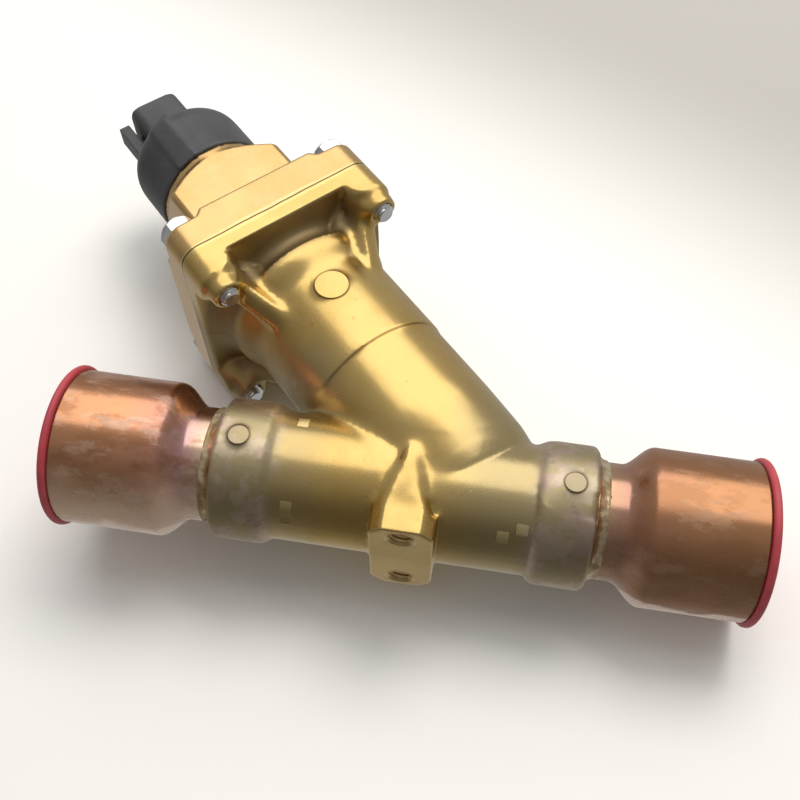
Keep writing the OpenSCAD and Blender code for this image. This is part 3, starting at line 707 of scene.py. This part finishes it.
def store_relief(mesh):
    """Writes how far each point stands out of its neighbours: edges above 0, hollows below."""
    count = len(mesh.vertices)
    points = np.empty(count * 3)
    normals = np.empty(count * 3)
    ends = np.empty(len(mesh.edges) * 2, int)
    mesh.vertices.foreach_get("co", points)
    mesh.vertices.foreach_get("normal", normals)
    mesh.edges.foreach_get("vertices", ends)
    points, normals, ends = points.reshape(-1, 3), normals.reshape(-1, 3), ends.reshape(-1, 2)
    near = np.maximum(np.bincount(ends.ravel(), minlength=count), 1)

    def around(values):
        total = np.zeros_like(values)
        np.add.at(total, ends[:, 0], values[ends[:, 1]])
        np.add.at(total, ends[:, 1], values[ends[:, 0]])
        return total / (near if values.ndim == 1 else near[:, None])

    step = np.linalg.norm(points[ends[:, 0]] - points[ends[:, 1]], axis=1).mean()
    height = ((points - around(points)) * normals).sum(1) / step
    for _ in range(RELIEF_ROUNDS):
        height = (height + around(height)) / 2
    values = mesh.attributes.new("relief", "FLOAT", "POINT").data
    values.foreach_set("value", (height * RELIEF_GAIN).astype(np.float32))


def make_piece(name, bm, slot, body="housing", sharp=40, worn=True, stands_for=None):
    """Turns a bmesh into a finished piece; stands_for names the solid that it takes the place of."""
    mesh = bpy.data.meshes.new(name)
    bm.to_mesh(mesh)
    bm.free()
    mesh.shade_smooth()
    mesh.set_sharp_from_angle(angle=radians(sharp))
    if worn:
        store_relief(mesh)
    mesh.materials.append(FINISH[slot])
    made = bpy.data.objects.new(name, mesh)
    scene.collection.objects.link(made)
    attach(made, body)
    if stands_for:
        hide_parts(stands_for)
    print(f"{name}: {sum(len(p.vertices) - 2 for p in mesh.polygons)} triangles")


# %% Spinning a profile
# Points nearer than this, in metres, become one.
SAME_POINT, SAME_ON_HELIX, SAME_CORNER = 1e-7, 2e-6, 1e-6


def spin_profile(bm, profile, steps=128, closed=True, matrix=Matrix(), turns=1, climb=0.0):
    """Turns a profile of (radius, height) pairs in millimetres about the piece's own z.

    A climb, in metres for each step, makes it a helix of so many turns.
    """
    before = set(bm.verts)
    corners = [bm.verts.new((r * MM, 0, z * MM)) for r, z in profile]
    edges = [bm.edges.new(pair) for pair in zip(corners, corners[1:])]
    if closed:
        edges.append(bm.edges.new((corners[-1], corners[0])))
    bmesh.ops.spin(bm, geom=corners + edges, cent=(0, 0, 0), axis=(0, 0, 1), angle=2 * pi * turns,
                   steps=steps, dvec=(0, 0, climb), use_merge=not climb)
    spun = [v for v in bm.verts if v not in before]
    bmesh.ops.remove_doubles(bm, verts=spun, dist=SAME_ON_HELIX if climb else SAME_POINT)
    turned = [v for v in bm.verts if v not in before]
    bmesh.ops.recalc_face_normals(bm, faces=list({f for v in turned for f in v.link_faces}))
    bmesh.ops.transform(bm, matrix=matrix, verts=turned)
    return turned


def arc(r, z, radius, first, last, steps):
    """Points of an arc in a profile, with its centre at (r, z) and angles in degrees."""
    angles = [radians(first + (last - first) * i / steps) for i in range(steps + 1)]
    return [(r + radius * cos(a), z + radius * sin(a)) for a in angles]


# %% Copies of forged solids
ON_JOINT, JOINT_GAP = 0.02 * MM, 0.05 * MM


def merged_copy(node):
    """A bmesh of a model node with the corners of its triangles joined."""
    bm = bmesh.new()
    bm.from_mesh(frame["nodes"][node].data)
    bmesh.ops.remove_doubles(bm, verts=bm.verts, dist=SAME_CORNER)
    return bm


def through_modifier(bm, kind, chosen=None, **settings):
    """Puts a bmesh through one modifier, on the chosen points only if there is a choice."""
    mesh = bpy.data.meshes.new("through_modifier")
    bm.to_mesh(mesh)
    bm.free()
    holder = bpy.data.objects.new("through_modifier", mesh)
    scene.collection.objects.link(holder)
    modifier = holder.modifiers.new(kind, kind)
    for name, value in settings.items():
        setattr(modifier, name, value)
    if chosen:
        group = holder.vertex_groups.new(name="chosen")
        group.add([v.index for v in mesh.vertices if chosen(v.co)], 1.0, "REPLACE")
        modifier.vertex_group = group.name
    done = bpy.data.meshes.new_from_object(holder.evaluated_get(bpy.context.evaluated_depsgraph_get()))
    bpy.data.objects.remove(holder)
    fresh = bmesh.new()
    fresh.from_mesh(done)
    return fresh


def even_skin(node, voxel, lie=Matrix(), stretch=0.0):
    """A node's shape in small even faces along the axes of a placing matrix.

    Stretch pulls the node's joint face along the leg, to be trimmed back later.
    """
    bm = merged_copy(node)
    for v in bm.verts:
        if abs(leg_place(v.co)[0] - JOINT_PLANE) < ON_JOINT:
            v.co += LEG_UP * stretch
    bmesh.ops.transform(bm, matrix=lie.inverted(), verts=bm.verts)
    fresh = through_modifier(bm, "REMESH", mode="VOXEL", voxel_size=voxel)
    bmesh.ops.transform(fresh, matrix=lie, verts=fresh.verts)
    return fresh


def trim_at_joint(bm, side):
    """Cuts a stretched skin flat and closed, just short of the joint plane; side is 1 above it."""
    spot = BRANCH + LEG_UP * (JOINT_PLANE + side * JOINT_GAP)
    cut = bmesh.ops.bisect_plane(bm, geom=[*bm.verts, *bm.edges, *bm.faces], plane_co=spot,
                                 plane_no=LEG_UP * -side, clear_outer=True)
    rims = [part for part in cut["geom_cut"] if isinstance(part, bmesh.types.BMEdge)]
    bmesh.ops.triangle_fill(bm, use_beauty=True, edges=rims, normal=LEG_UP * -side)
    bmesh.ops.recalc_face_normals(bm, faces=bm.faces)


def soften(bm, passes, chosen=lambda point: True):
    """Smooths the chosen points, so that sharp corners turn into forged radii."""
    points = [v for v in bm.verts if chosen(v.co)]
    for _ in range(passes):
        bmesh.ops.smooth_vert(
            bm, verts=points, factor=0.5, use_axis_x=True, use_axis_y=True, use_axis_z=True)


# %% [markdown]
# ## The forged body: soft and crisp places
# A forging has no sharp corners: metal has flowed round every lug, gusset and
# branch. Bevels would need every edge chosen by hand, so a copy of the solid is
# covered with an even skin instead, and the skin is smoothed. Machined places, the
# collars, the boss face and the flange's joint, get only a light pass, and so does
# the step where the die's halves met. Short tests say which place a point is in.

# %% Tests for places on the body
BOSS_FACE = 9 * MM
COLLAR_REACH = 44 * MM
FLANGE_ROOT = 98 * MM


def is_below_flange(point):
    """True on the forged outside of the leg and the bare port tubes, short of the flange."""
    up, away = leg_place(point)
    outside = away > 24.5 * MM and run_place(point) > 20 * MM
    on_collar = abs(point.x - RUN_MIDDLE) > COLLAR_REACH and run_place(point) < 28 * MM
    at_die_step = abs(up - DIE_STEP) <= 1.5 * MM
    return outside and up < FLANGE_ROOT and point.y >= BOSS_FACE and not on_collar and not at_die_step


def is_gusset(point):
    """True on the ribs that run from the leg to the lugs."""
    x, y, up = INTO_LEG @ point
    on_diagonal = abs(abs(x) - abs(y)) < 12 * MM
    return on_diagonal and hypot(x, y) < 46 * MM and 86 * MM < up < 119 * MM


def is_crease(point):
    """True where the leg runs into the port tubes."""
    near_tube = 22.5 * MM < run_place(point) < 30 * MM
    near_leg = 26 * MM < leg_place(point)[1] < 36 * MM
    return near_tube and near_leg and point.y > 14 * MM


def is_ridge(point):
    """True on the ridges between the leg and the fixing boss, behind the boss's shelves."""
    behind_shelf = 11 * MM < point.y < BRANCH.y + 4 * MM
    return abs(point.x) < 14 * MM and abs(point.z) > 21.5 * MM and behind_shelf


def is_inside(point):
    """True on the walls of the bores, which need fewer faces."""
    up, away = leg_place(point)
    in_leg = away < 24.6 * MM and 20 * MM < up < JOINT_PLANE - 2 * MM
    return in_leg or run_place(point) < 21.6 * MM


# %% [markdown]
# ## The forged body: hollow, lugs and foot
# Behind the flange the leg sinks into a hollow, the lugs are drawn in round their
# bolts, and the blind end of the leg is a low dome. Boolean cuts would leave hard
# edges there, but points of the skin can be moved along smooth curves. So each of
# the three is a function that takes a point on the leg, in mm, to its new place.

# %% Hollow behind the flange
FILLET_AT, FILLET_RIM, FILLET_R, FILLET_SLACK = 113.0, 43.5, 9, 1.2
FLANGE_SIDE = 41.7
HOLLOW_EDGE = (5.5, 9.0)
# Share of the fillet's quarter turn, and the radius and the place up the leg that it sinks to.
HOLLOW = [
    (0.0, 34.9, 112.4), (0.08, 34.4, 113.6), (0.18, 32.6, 114.6), (0.30, 31.8, 116.2), (0.40, 31.8, 118.2),
    (0.50, 32.6, 120.2), (0.62, 34.8, 121.5), (0.93, 42.3, 121.95), (1.0, 43.5, 122.0),
]


def soft_step(value, low, high):
    """0 below low, 1 above high and a soft step between."""
    share = min(1.0, max(0.0, (value - low) / (high - low)))
    return share * share * (3 - 2 * share)


def sink_hollow(x, y, up):
    """Sinks a point of the fillet, on the leg's upper and lower side, into the hollow."""
    reach = hypot(x, y)
    share = atan2(up - FILLET_AT, FILLET_RIM - reach) / (pi / 2)
    off_fillet = abs(hypot(up - FILLET_AT, FILLET_RIM - reach) - FILLET_R)
    if off_fillet >= FILLET_SLACK or not 0 < share < 1 or abs(x) >= FLANGE_SIDE:
        return x, y, up
    mask = soft_step((abs(x) - abs(y)) / 2 ** 0.5, *HOLLOW_EDGE)
    shares, radii, places = zip(*HOLLOW)
    sunk = reach + mask * (np.interp(share, shares, radii) - reach)
    return x * sunk / reach, y * sunk / reach, up + mask * (np.interp(share, shares, places) - up)


# %% Lugs and foot
LUG_AT, LUG_R = 34.5, 12
WAIST_TOP, WAIST_EDGE = 118, (-4.0, 1.5)
# Place up the leg, and how far a lug's outer side lies from its bolt there.
LUG_WAIST = [(105.0, 5.8), (108.0, 6.0), (113.0, 6.7), (114.5, 7.6), (117.5, 11.0), (119.0, 20.0)]
FOOT_TOP, FOOT_FADE, FOOT_DROP = 36, 38, 0.20


def waist_lug(x, y, up):
    """Draws the outer side of a lug in below its flat front, round its bolt."""
    side_x, side_y = (1 if x > 0 else -1), (1 if y > 0 else -1)
    from_x, from_y = x - side_x * LUG_AT, y - side_y * LUG_AT
    reach = hypot(from_x, from_y)
    limit = np.interp(up, *zip(*LUG_WAIST))
    if up > WAIST_TOP or reach > LUG_R or reach < limit:
        return x, y, up
    mask = soft_step((from_x * side_x + from_y * side_y) / 2 ** 0.5, *WAIST_EDGE)
    drawn = 1 + mask * (limit / reach - 1)
    return side_x * LUG_AT + from_x * drawn, side_y * LUG_AT + from_y * drawn, up


def round_foot(x, y, up):
    """Lowers the blind end of the leg towards its tip, but never into the port tube."""
    drop = FOOT_DROP * soft_step(FOOT_TOP - up, 0, FOOT_FADE)
    lowered = ON_LEG @ (Vector((x * (1 - drop), y, up)) * MM)
    off = Vector((0, lowered.y - BRANCH.y, lowered.z))
    return lowered + off * max(0.0, TUBE_R * MM / off.length - 1)


# %% [markdown]
# ## The forged body: its skin
# Smoothing would round the joint face, so that face is stretched past the joint
# first and cut off flat at the end. In between, points of the outside are moved
# and the skin is smoothed, most where ribs and creases flow together. The walls of
# the bores show only in a cut, so they are thinned to save faces.

# %% Forged body
BODY_VOXEL = 0.92 * MM
JOINT_STRETCH = 3 * MM
FLANGE_FROM, FLANGE_TO = 100, 123
FOOT_TIP = -9
BORE_SHARE = 0.71


def sculpt(v):
    """Moves one point of the skin into the hollow, a lug's waist or the low dome of the foot."""
    x, y, up = INTO_LEG @ v.co / MM
    away, from_run = hypot(x, y), run_place(v.co) / MM
    faces_out = v.normal.dot(v.co - BRANCH - LEG_UP * up * MM) > 0
    on_foot = faces_out and up < FOOT_TOP
    off_tube = from_run > TUBE_R + 0.4 and v.co.y > BOSS_FACE
    in_crease = TUBE_R < from_run < TUBE_R + 2 and 4 < v.co.x / MM < 44
    if FLANGE_FROM < up < FLANGE_TO:
        v.co = ON_LEG @ (Vector(waist_lug(*sink_hollow(x, y, up))) * MM)
    elif on_foot and off_tube and up > FOOT_TIP and away < LEG_R + 0.5:
        v.co = round_foot(x, y, up)
    elif on_foot and in_crease and away < LEG_R + 6:
        off = Vector((v.co.y - BRANCH.y, v.co.z))
        v.co.yz = Vector((BRANCH.y, 0)) + off * (TUBE_R / from_run)


body_skin = even_skin("valve_body", BODY_VOXEL, stretch=JOINT_STRETCH)
body_skin.normal_update()
for v in body_skin.verts:
    sculpt(v)
soften(body_skin, 2)
for passes, chosen in ((8, is_below_flange), (24, is_gusset), (22, is_crease), (5, is_ridge)):
    soften(body_skin, passes, chosen)
trim_at_joint(body_skin, -1)
body_skin = through_modifier(body_skin, "DECIMATE", is_inside, ratio=BORE_SHARE)
make_piece("forged_body", body_skin, "forged_brass", sharp=70, stands_for="valve_body")

# %% [markdown]
# ## Bonnet and motor cap
# The bonnet is machined from bar and its edges are only broken, so its skin is
# laid along the leg's own axes, which keeps the flats flat, and smoothed twice.
# The moulded cap gets a finer skin, because its radii and its latch are small, and
# more smoothing where its flat panel runs into the round shoulder.

# %% Bonnet
BONNET_VOXEL = 0.75 * MM
bonnet_skin = even_skin("bonnet", BONNET_VOXEL, ON_LEG, stretch=-JOINT_STRETCH)
soften(bonnet_skin, 2)
trim_at_joint(bonnet_skin, 1)
make_piece("bonnet_skin", bonnet_skin, "turned_brass", sharp=70, stands_for="bonnet")

# %% Motor cap
CAP_VOXEL = 0.5 * MM
PANEL_TURN, PANEL_HALF, PANEL_IN = radians(-22), radians(36), 14.8 * MM


def is_panel(point):
    """True on the flat panel and its knee on the cap's shoulder."""
    x, y, up = INTO_LEG @ point
    faces_panel = abs(atan2(y, x) - PANEL_TURN) < PANEL_HALF
    return faces_panel and hypot(x, y) > PANEL_IN and up > HUB_END + 3 * MM


cap_skin = even_skin("motor_cap", CAP_VOXEL, ON_LEG)
soften(cap_skin, 6)
soften(cap_skin, 30, is_panel)
make_piece("cap_skin", cap_skin, "black_plastic", sharp=180, stands_for="motor_cap")

# %% [markdown]
# ## Struck pads and square marks
# A round pad on the leg and one on each collar are struck in the die, so their
# edges are crisp although the forging round them is soft. Each is a small spun
# button sunk into the skin. The square marks beside the collars are bevelled
# blocks that dip into the tube on one side, as a worn stamp leaves them.

# %% Struck pads
PAD_SUNK, PAD_EDGE = 2, 0.25
pads = bmesh.new()
for spot, radius, top in PADS:
    broken_edge = arc(radius - PAD_EDGE, top - PAD_EDGE, PAD_EDGE, 90, 0, 4)
    button = [(0, top), *broken_edge, (radius, top - PAD_SUNK), (0, top - PAD_SUNK)]
    spin_profile(pads, button, steps=96, closed=False, matrix=place(spot, X_AXIS, Y_AXIS, UP))
make_piece("struck_pads", pads, "forged_brass", sharp=50, worn=False)

# %% Square marks on the tubes
MARK_SIZE, MARK_EDGE = Vector((4.6, 4.6, 2.0)) * MM, 0.5 * MM
MARK_R, MARK_TILT = TUBE_R - 0.6, 14
# Place along the ports in mm, and lean in degrees from up towards the fixing face.
MARKS = [(-40.6, -28.5), (-41.2, 53.0), (-40.9, 65.5), (33.9, 51.5), (40.2, 43.0)]


def way_out(lean):
    """The way out of the port axis at a lean."""
    return Vector((0, -sin(radians(lean)), cos(radians(lean))))


marks = bmesh.new()
for x, lean in MARKS:
    block = bmesh.ops.create_cube(marks, size=1.0)["verts"]
    bmesh.ops.scale(marks, vec=MARK_SIZE, verts=block)
    edges = list({e for v in block for e in v.link_edges})
    bevelled = bmesh.ops.bevel(
        marks, geom=edges, offset=MARK_EDGE, segments=3, profile=0.5, affect="EDGES", material=-1)["verts"]
    outward = way_out(lean - copysign(MARK_TILT, lean))
    spot = Vector((x * MM, BRANCH.y, 0)) + way_out(lean) * MARK_R * MM
    bmesh.ops.transform(
        marks, verts=list(set(bevelled)), matrix=place(spot, X_AXIS, outward.cross(X_AXIS), outward))
make_piece("square_marks", marks, "forged_brass", sharp=50, worn=False)

# %% [markdown]
# ## Copper stubs and transport plugs
# The reducers are spun tube: one profile swings from the neck to the bell in an
# S, and its inner wall runs a wall's thickness behind. The plugs are turned the
# same way, with a rounded rim that stands a little past the bell.

# %% Copper stubs
NECK_R, COPPER_WALL = 21.0, 1.4
NECK_SHOW, BELL_AT, BELL_END = 8.7, 20.2, 55.8
NECK_IN = -12.95


def reducer_wall(inset, steps=24):
    """The tube's wall from neck to bell, set in from the outside by an inset."""
    wall = [(NECK_R, NECK_IN)]
    for i in range(steps + 1):
        swing = (1 - cos(pi * i / steps)) / 2
        wall.append((NECK_R + (BELL_R - NECK_R) * swing, NECK_SHOW + (BELL_AT - NECK_SHOW) * i / steps))
    wall.append((BELL_R, BELL_END - 0.5))
    return [(r - inset, z) for r, z in wall]


for name, where in (("inlet", AT_INLET), ("outlet", AT_OUTLET)):
    tube = bmesh.new()
    half = COPPER_WALL / 2
    rim = arc(BELL_R - half, BELL_END - half, half, 0, 180, 8)
    profile = [*reducer_wall(0), *rim, *reversed(reducer_wall(COPPER_WALL))]
    spin_profile(tube, profile, steps=160, matrix=where)
    make_piece(f"{name}_reducer", tube, "copper", sharp=50, stands_for=f"{name}_stub")

# %% Transport plugs
RIM_R, RIM_T = 30.0, 2.9
SKIRT_R, SKIRT_WALL, SKIRT_END = 27.05, 1.8, 39.25
PLUG_AT = BELL_END + 0.05
CORNER_R, DISH_R, DISH_FLOOR = 1, 0.8, 2.3


def plug_profile():
    """Skirt inside the bell, rounded rim and the shallow dish in the plug's face."""
    bead = RIM_T / 2
    inner = SKIRT_R - SKIRT_WALL
    corner = arc(inner - CORNER_R, PLUG_AT - CORNER_R, CORNER_R, 90, 0, 4)
    skirt = [(0, PLUG_AT), *corner, (inner, SKIRT_END), (SKIRT_R - 0.5, SKIRT_END), (SKIRT_R, SKIRT_END + 1)]
    rim = [(SKIRT_R, PLUG_AT), *arc(RIM_R - bead, PLUG_AT + bead, bead, -90, 90, 14)]
    lip = arc(SKIRT_R - 2, PLUG_AT + RIM_T - DISH_R, DISH_R, 90, 160, 5)
    hollow = arc(SKIRT_R - 4.5, PLUG_AT + DISH_FLOOR + DISH_R, DISH_R, -20, -90, 5)
    return [*skirt, *rim, *lip, *hollow, (0, PLUG_AT + DISH_FLOOR)]


for name, where in (("inlet", AT_INLET), ("outlet", AT_OUTLET)):
    plug = bmesh.new()
    spin_profile(plug, plug_profile(), steps=160, closed=False, matrix=where)
    make_piece(f"{name}_plug_skin", plug, "red_plastic", f"{name}_cover", stands_for=f"{name}_plug")

# %% [markdown]
# ## Braze beads
# Brazing alloy freezes as it ran: thick here, thin there, with a ragged foot on
# the collar. A spun fillet is pushed out by a noise that is smooth round the joint,
# which is enough to take the machined look off it.

# %% Braze beads
BEAD, BEAD_STRETCH = 3.0, 1.35
LET_IN, LET_DOWN = 0.3, 0.4
LUMPS, CRUMBS, LUMP_RISE = 190, 520, 0.8


def braze_bead(where, seed):
    """A ragged fillet round the neck; the seed picks its lumps."""
    bm = bmesh.new()
    top, inner = BEAD * BEAD_STRETCH, NECK_R - LET_IN
    hollow = [(r, z * BEAD_STRETCH) for r, z in arc(NECK_R + BEAD, BEAD, BEAD, 270, 180, 8)]
    profile = [(inner, -LET_DOWN), (NECK_R + BEAD, -LET_DOWN), *hollow, (inner, top + LET_IN)]
    for v in spin_profile(bm, profile, steps=200):
        away = Vector((v.co.x, v.co.y, 0)).normalized()
        lump = noise.noise(v.co * LUMPS + X_AXIS * seed) + 0.6 * noise.noise(v.co * CRUMBS)
        foot = max(0.0, 1 - v.co.z / (top * MM))
        rise = max(0.0, lump + 0.25) * LUMP_RISE * MM
        if v.co.z > -0.1 * MM and hypot(v.co.x, v.co.y) > NECK_R * MM:
            v.co += away * rise * (0.4 + 0.6 * foot) + UP * rise * (1.1 - foot)
    bmesh.ops.transform(bm, matrix=where, verts=bm.verts)
    return bm


make_piece("inlet_bead", braze_bead(AT_INLET, 3.0), "braze_alloy", sharp=70, stands_for="inlet_braze")
make_piece("outlet_bead", braze_bead(AT_OUTLET, 11.0), "braze_alloy", sharp=70, stands_for="outlet_braze")

# %% [markdown]
# ## Threads and bolts
# A thread is a V swept along a helix. The spin operator does that when each step
# also climbs a little. The hexagon heads start as spun blanks whose points are
# pulled in to the six flats, so the lathe's chamfer meets each flat in the curved
# line that real bolt heads have.

# %% Helix and hexagon
def thread(bm, crest, root, pitch, turns, matrix, steps=40):
    """A helical V thread from z = 0 upwards, in millimetres, with so many steps for each turn."""
    groove = [(root, 0), (crest, pitch / 2), (root, pitch)]
    spin_profile(bm, groove, int(steps * turns), False, matrix, turns, pitch * MM / steps)


def pull_to_hexagon(points, flats):
    """Moves points that stand outside a hexagon in to its flats."""
    for v in points:
        angle = (atan2(v.co.y, v.co.x) + pi / 6) % (pi / 3) - pi / 6
        limit = flats / 2 * MM / cos(angle)
        reach = hypot(v.co.x, v.co.y)
        if reach > limit:
            v.co.x *= limit / reach
            v.co.y *= limit / reach


# %% Flange bolts
BOLT_PITCH, BOLT_R, THREAD_PITCH = 69.0, 4.0, 1.25
TIP_R, CORE_R, ROOT_R, CORE_L = 2.9, 3.35, 3.3, 5
HEAD_FLATS, HEAD_H = 13.0, 5.28
BLANK_R, SIDE_SHARE = HEAD_FLATS * 0.62, 0.62
STEP_IN, STEP_UP = 0.16, 0.038
seat = HEAD_TOP / MM - HEAD_H
tip = BOLT_TIP / MM


def bolt(bm, matrix):
    """Hexagon head, shank and the threaded end that shows behind the lug."""
    chamfer = [(BLANK_R - STEP_IN * i, seat + HEAD_H * (SIDE_SHARE + STEP_UP * i)) for i in range(11)]
    blank = [(0, seat), (BLANK_R, seat), *chamfer, (0, seat + HEAD_H)]
    head = spin_profile(bm, blank, steps=96, closed=False)
    pull_to_hexagon(head, HEAD_FLATS)
    bmesh.ops.transform(bm, matrix=matrix, verts=head)
    core = [(0, tip), (TIP_R, tip), (CORE_R, tip + 0.5), (CORE_R, tip + CORE_L)]
    shank = [(BOLT_R, tip + CORE_L + 0.6), (BOLT_R, seat + 0.5), (0, seat + 0.5)]
    spin_profile(bm, [*core, *shank], steps=48, closed=False, matrix=matrix)
    thread(bm, BOLT_R, ROOT_R, THREAD_PITCH, 3, matrix @ Matrix.Translation((0, 0, (tip + 0.35) * MM)))


bolts = bmesh.new()
for up in (-1, 1):
    for side in (-1, 1):
        bolt(bolts, ON_LEG @ Matrix.Translation(Vector((up, side, 0)) * BOLT_PITCH / 2 * MM))
make_piece("hexagon_bolts", bolts, "zinc_steel", sharp=25, stands_for="flange_bolts")

# %% [markdown]
# ## Tapped fixing holes and contacts
# Each fixing hole gets a crisp countersunk mouth and an inside thread, set into
# the softened boss. The four contacts in the connector get rounded tips, as drawn
# pins have.

# %% Tapped holes
holes = frame["record"]["mounts"][0]["dims"]
HOLE_R = holes["hole_r_mm"]
OUTER_R, CONE_R, WALL_R, CREST_R = HOLE_R + 1.45, HOLE_R + 0.85, HOLE_R - 0.1, HOLE_R - 0.65
MOUTH_PROUD, CONE_END, MOUTH_END = -0.03, 0.95, 2
TAP_PITCH, TAP_TURNS = 1.5, 8
mouths = bmesh.new()
for up in (-0.5, 0.5):
    mouth = place(UP * up * holes["spacing_y_mm"] * MM, X_AXIS, UP * -1, Y_AXIS)
    face = [(OUTER_R, 0.5), (OUTER_R, MOUTH_PROUD), (CONE_R, MOUTH_PROUD)]
    wall = [(WALL_R, CONE_END), (WALL_R, MOUTH_END), (HOLE_R + 0.4, MOUTH_END)]
    spin_profile(mouths, [*face, *wall], steps=96, matrix=mouth)
    thread(mouths, CREST_R, WALL_R, TAP_PITCH, TAP_TURNS, mouth @ Matrix.Translation((0, 0, 0.8 * MM)))
make_piece("tapped_mouths", mouths, "turned_brass", sharp=30)

# %% Contacts
PIN_R, PIN_PITCH = 0.8, 6.0
pins = bmesh.new()
low, high = PINS_LOW / MM, PINS_HIGH / MM
shaft = [(0, low), (PIN_R, low), *arc(PIN_R - 0.5, high - 1.2, 0.5, 0, 20, 3)]
pin = [*shaft, *arc(0, high - 0.4, 0.4, 10, 90, 4)]
for up in (-0.5, 0.5):
    for side in (-0.5, 0.5):
        spin_profile(pins, pin, steps=24, closed=False,
                     matrix=ON_LEG @ Matrix.Translation(Vector((up, side, 0)) * PIN_PITCH * MM))
make_piece("round_contacts", pins, "contact_metal", stands_for="contact_pins")

# %% [markdown]
# ## Floor
# The valve lies on the lower lugs of its flange and on the outlet plug, so the
# The table gets painted shade, darker towards its far corner, and it is hidden from
# reflections, because a bright table would wash out the lower side of the brass.

# %% Floor
TABLE_HALF = 3.0
flange_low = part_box("bonnet")[0].z
plug_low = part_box("outlet_plug")[0]
plug_foot = Vector((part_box("outlet_plug")[1].x - RIM_T / 2 * MM, BRANCH.y, plug_low.z))
lug_foot = BRANCH + LEG_UP * (BOLT_TIP + 3 * MM) + UP * flange_low
down_leg = LEG_UP * -1
tilt = (plug_foot.z - lug_foot.z) / (plug_foot - lug_foot).dot(down_leg)
along = (down_leg + UP * tilt).normalized()
table = bmesh.new()
bmesh.ops.create_grid(table, x_segments=8, y_segments=8, size=TABLE_HALF)
on_feet = place(lug_foot, along, LEG_SIDE, along.cross(LEG_SIDE))
bmesh.ops.transform(table, verts=table.verts, matrix=on_feet)
table_mesh = bpy.data.meshes.new("table")
table.to_mesh(table_mesh)
table.free()
floor = bpy.data.objects.new("table", table_mesh)
scene.collection.objects.link(floor)
floor.visible_glossy = False
floor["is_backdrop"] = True
table_finish, tree, where = start("table_top")
at = split(tree, where)
pale = tint(tree, clouds(tree, where, 6.0), (0.91, 0.895, 0.865), (0.94, 0.93, 0.91))
# Painted shade: the table darkens towards its far corner, as if the light fell off there.
painted_far_shade = fade(tree, plus(tree, at["X"], 0.58, at["Y"]), 0.17, 0.40)
table_top = coat(tree, pale, (painted_far_shade, 0.9, (0.42, 0.40, 0.36)))
table_mesh.materials.append(close(table_finish, table_top, 0.6, 0.0))
print("table tilts", round(degrees(tilt), 2), "degrees")

# %% [markdown]
# ## Light
# One wide soft panel behind the valve lights every face that looks up and throws
# the shadow towards the viewer. A smaller window firms up that shadow, but it is
# hidden from reflections, so the metal mirrors a single panel. The room in front
# stays dark, which gives the brass its deep side.

# %% Lights
LIGHT_AIM = Vector((-0.01, 0.07, 0.0))


def soft_light(name, where, size, power, colour, mirrored=True):
    data = bpy.data.lights.new(name, "AREA")
    data.shape = "RECTANGLE"
    data.size, data.size_y = size
    data.energy = power
    data.color = colour
    light = bpy.data.objects.new(name, data)
    light.location = where
    aim = LIGHT_AIM - light.location
    light.rotation_euler = aim.to_track_quat("-Z", "Y").to_euler()
    light.visible_glossy = mirrored
    scene.collection.objects.link(light)


soft_light("sky_panel", Vector((0.0, 0.70, 1.05)), (1.7, 1.35), 9.8, (1.0, 0.98, 0.95))
soft_light("window", Vector((0.15, 0.65, 1.0)), (0.6, 0.5), 7.0, (1.0, 0.97, 0.92), mirrored=False)
world = bpy.data.worlds.new("soft_room")
scene.world = world
world.use_nodes = True
sky = world.node_tree
look = split(sky, sky.nodes.new("ShaderNodeTexCoord").outputs["Generated"])
tall = calc(sky, "ABSOLUTE", look["Z"])
height = times(sky, calc(sky, "ADD", look["Y"], tall), 0.6)
room = tint(sky, fade(sky, height, -0.5, 0.7), (0.125, 0.119, 0.110), (0.46, 0.455, 0.45))
wire(sky, room, sky.nodes["Background"].inputs["Color"])

new_low, new_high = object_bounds()
for label, size in (("model", cad_high - cad_low), ("dressed", new_high - new_low)):
    print(label, "box mm:", [round(x / MM, 1) for x in size])
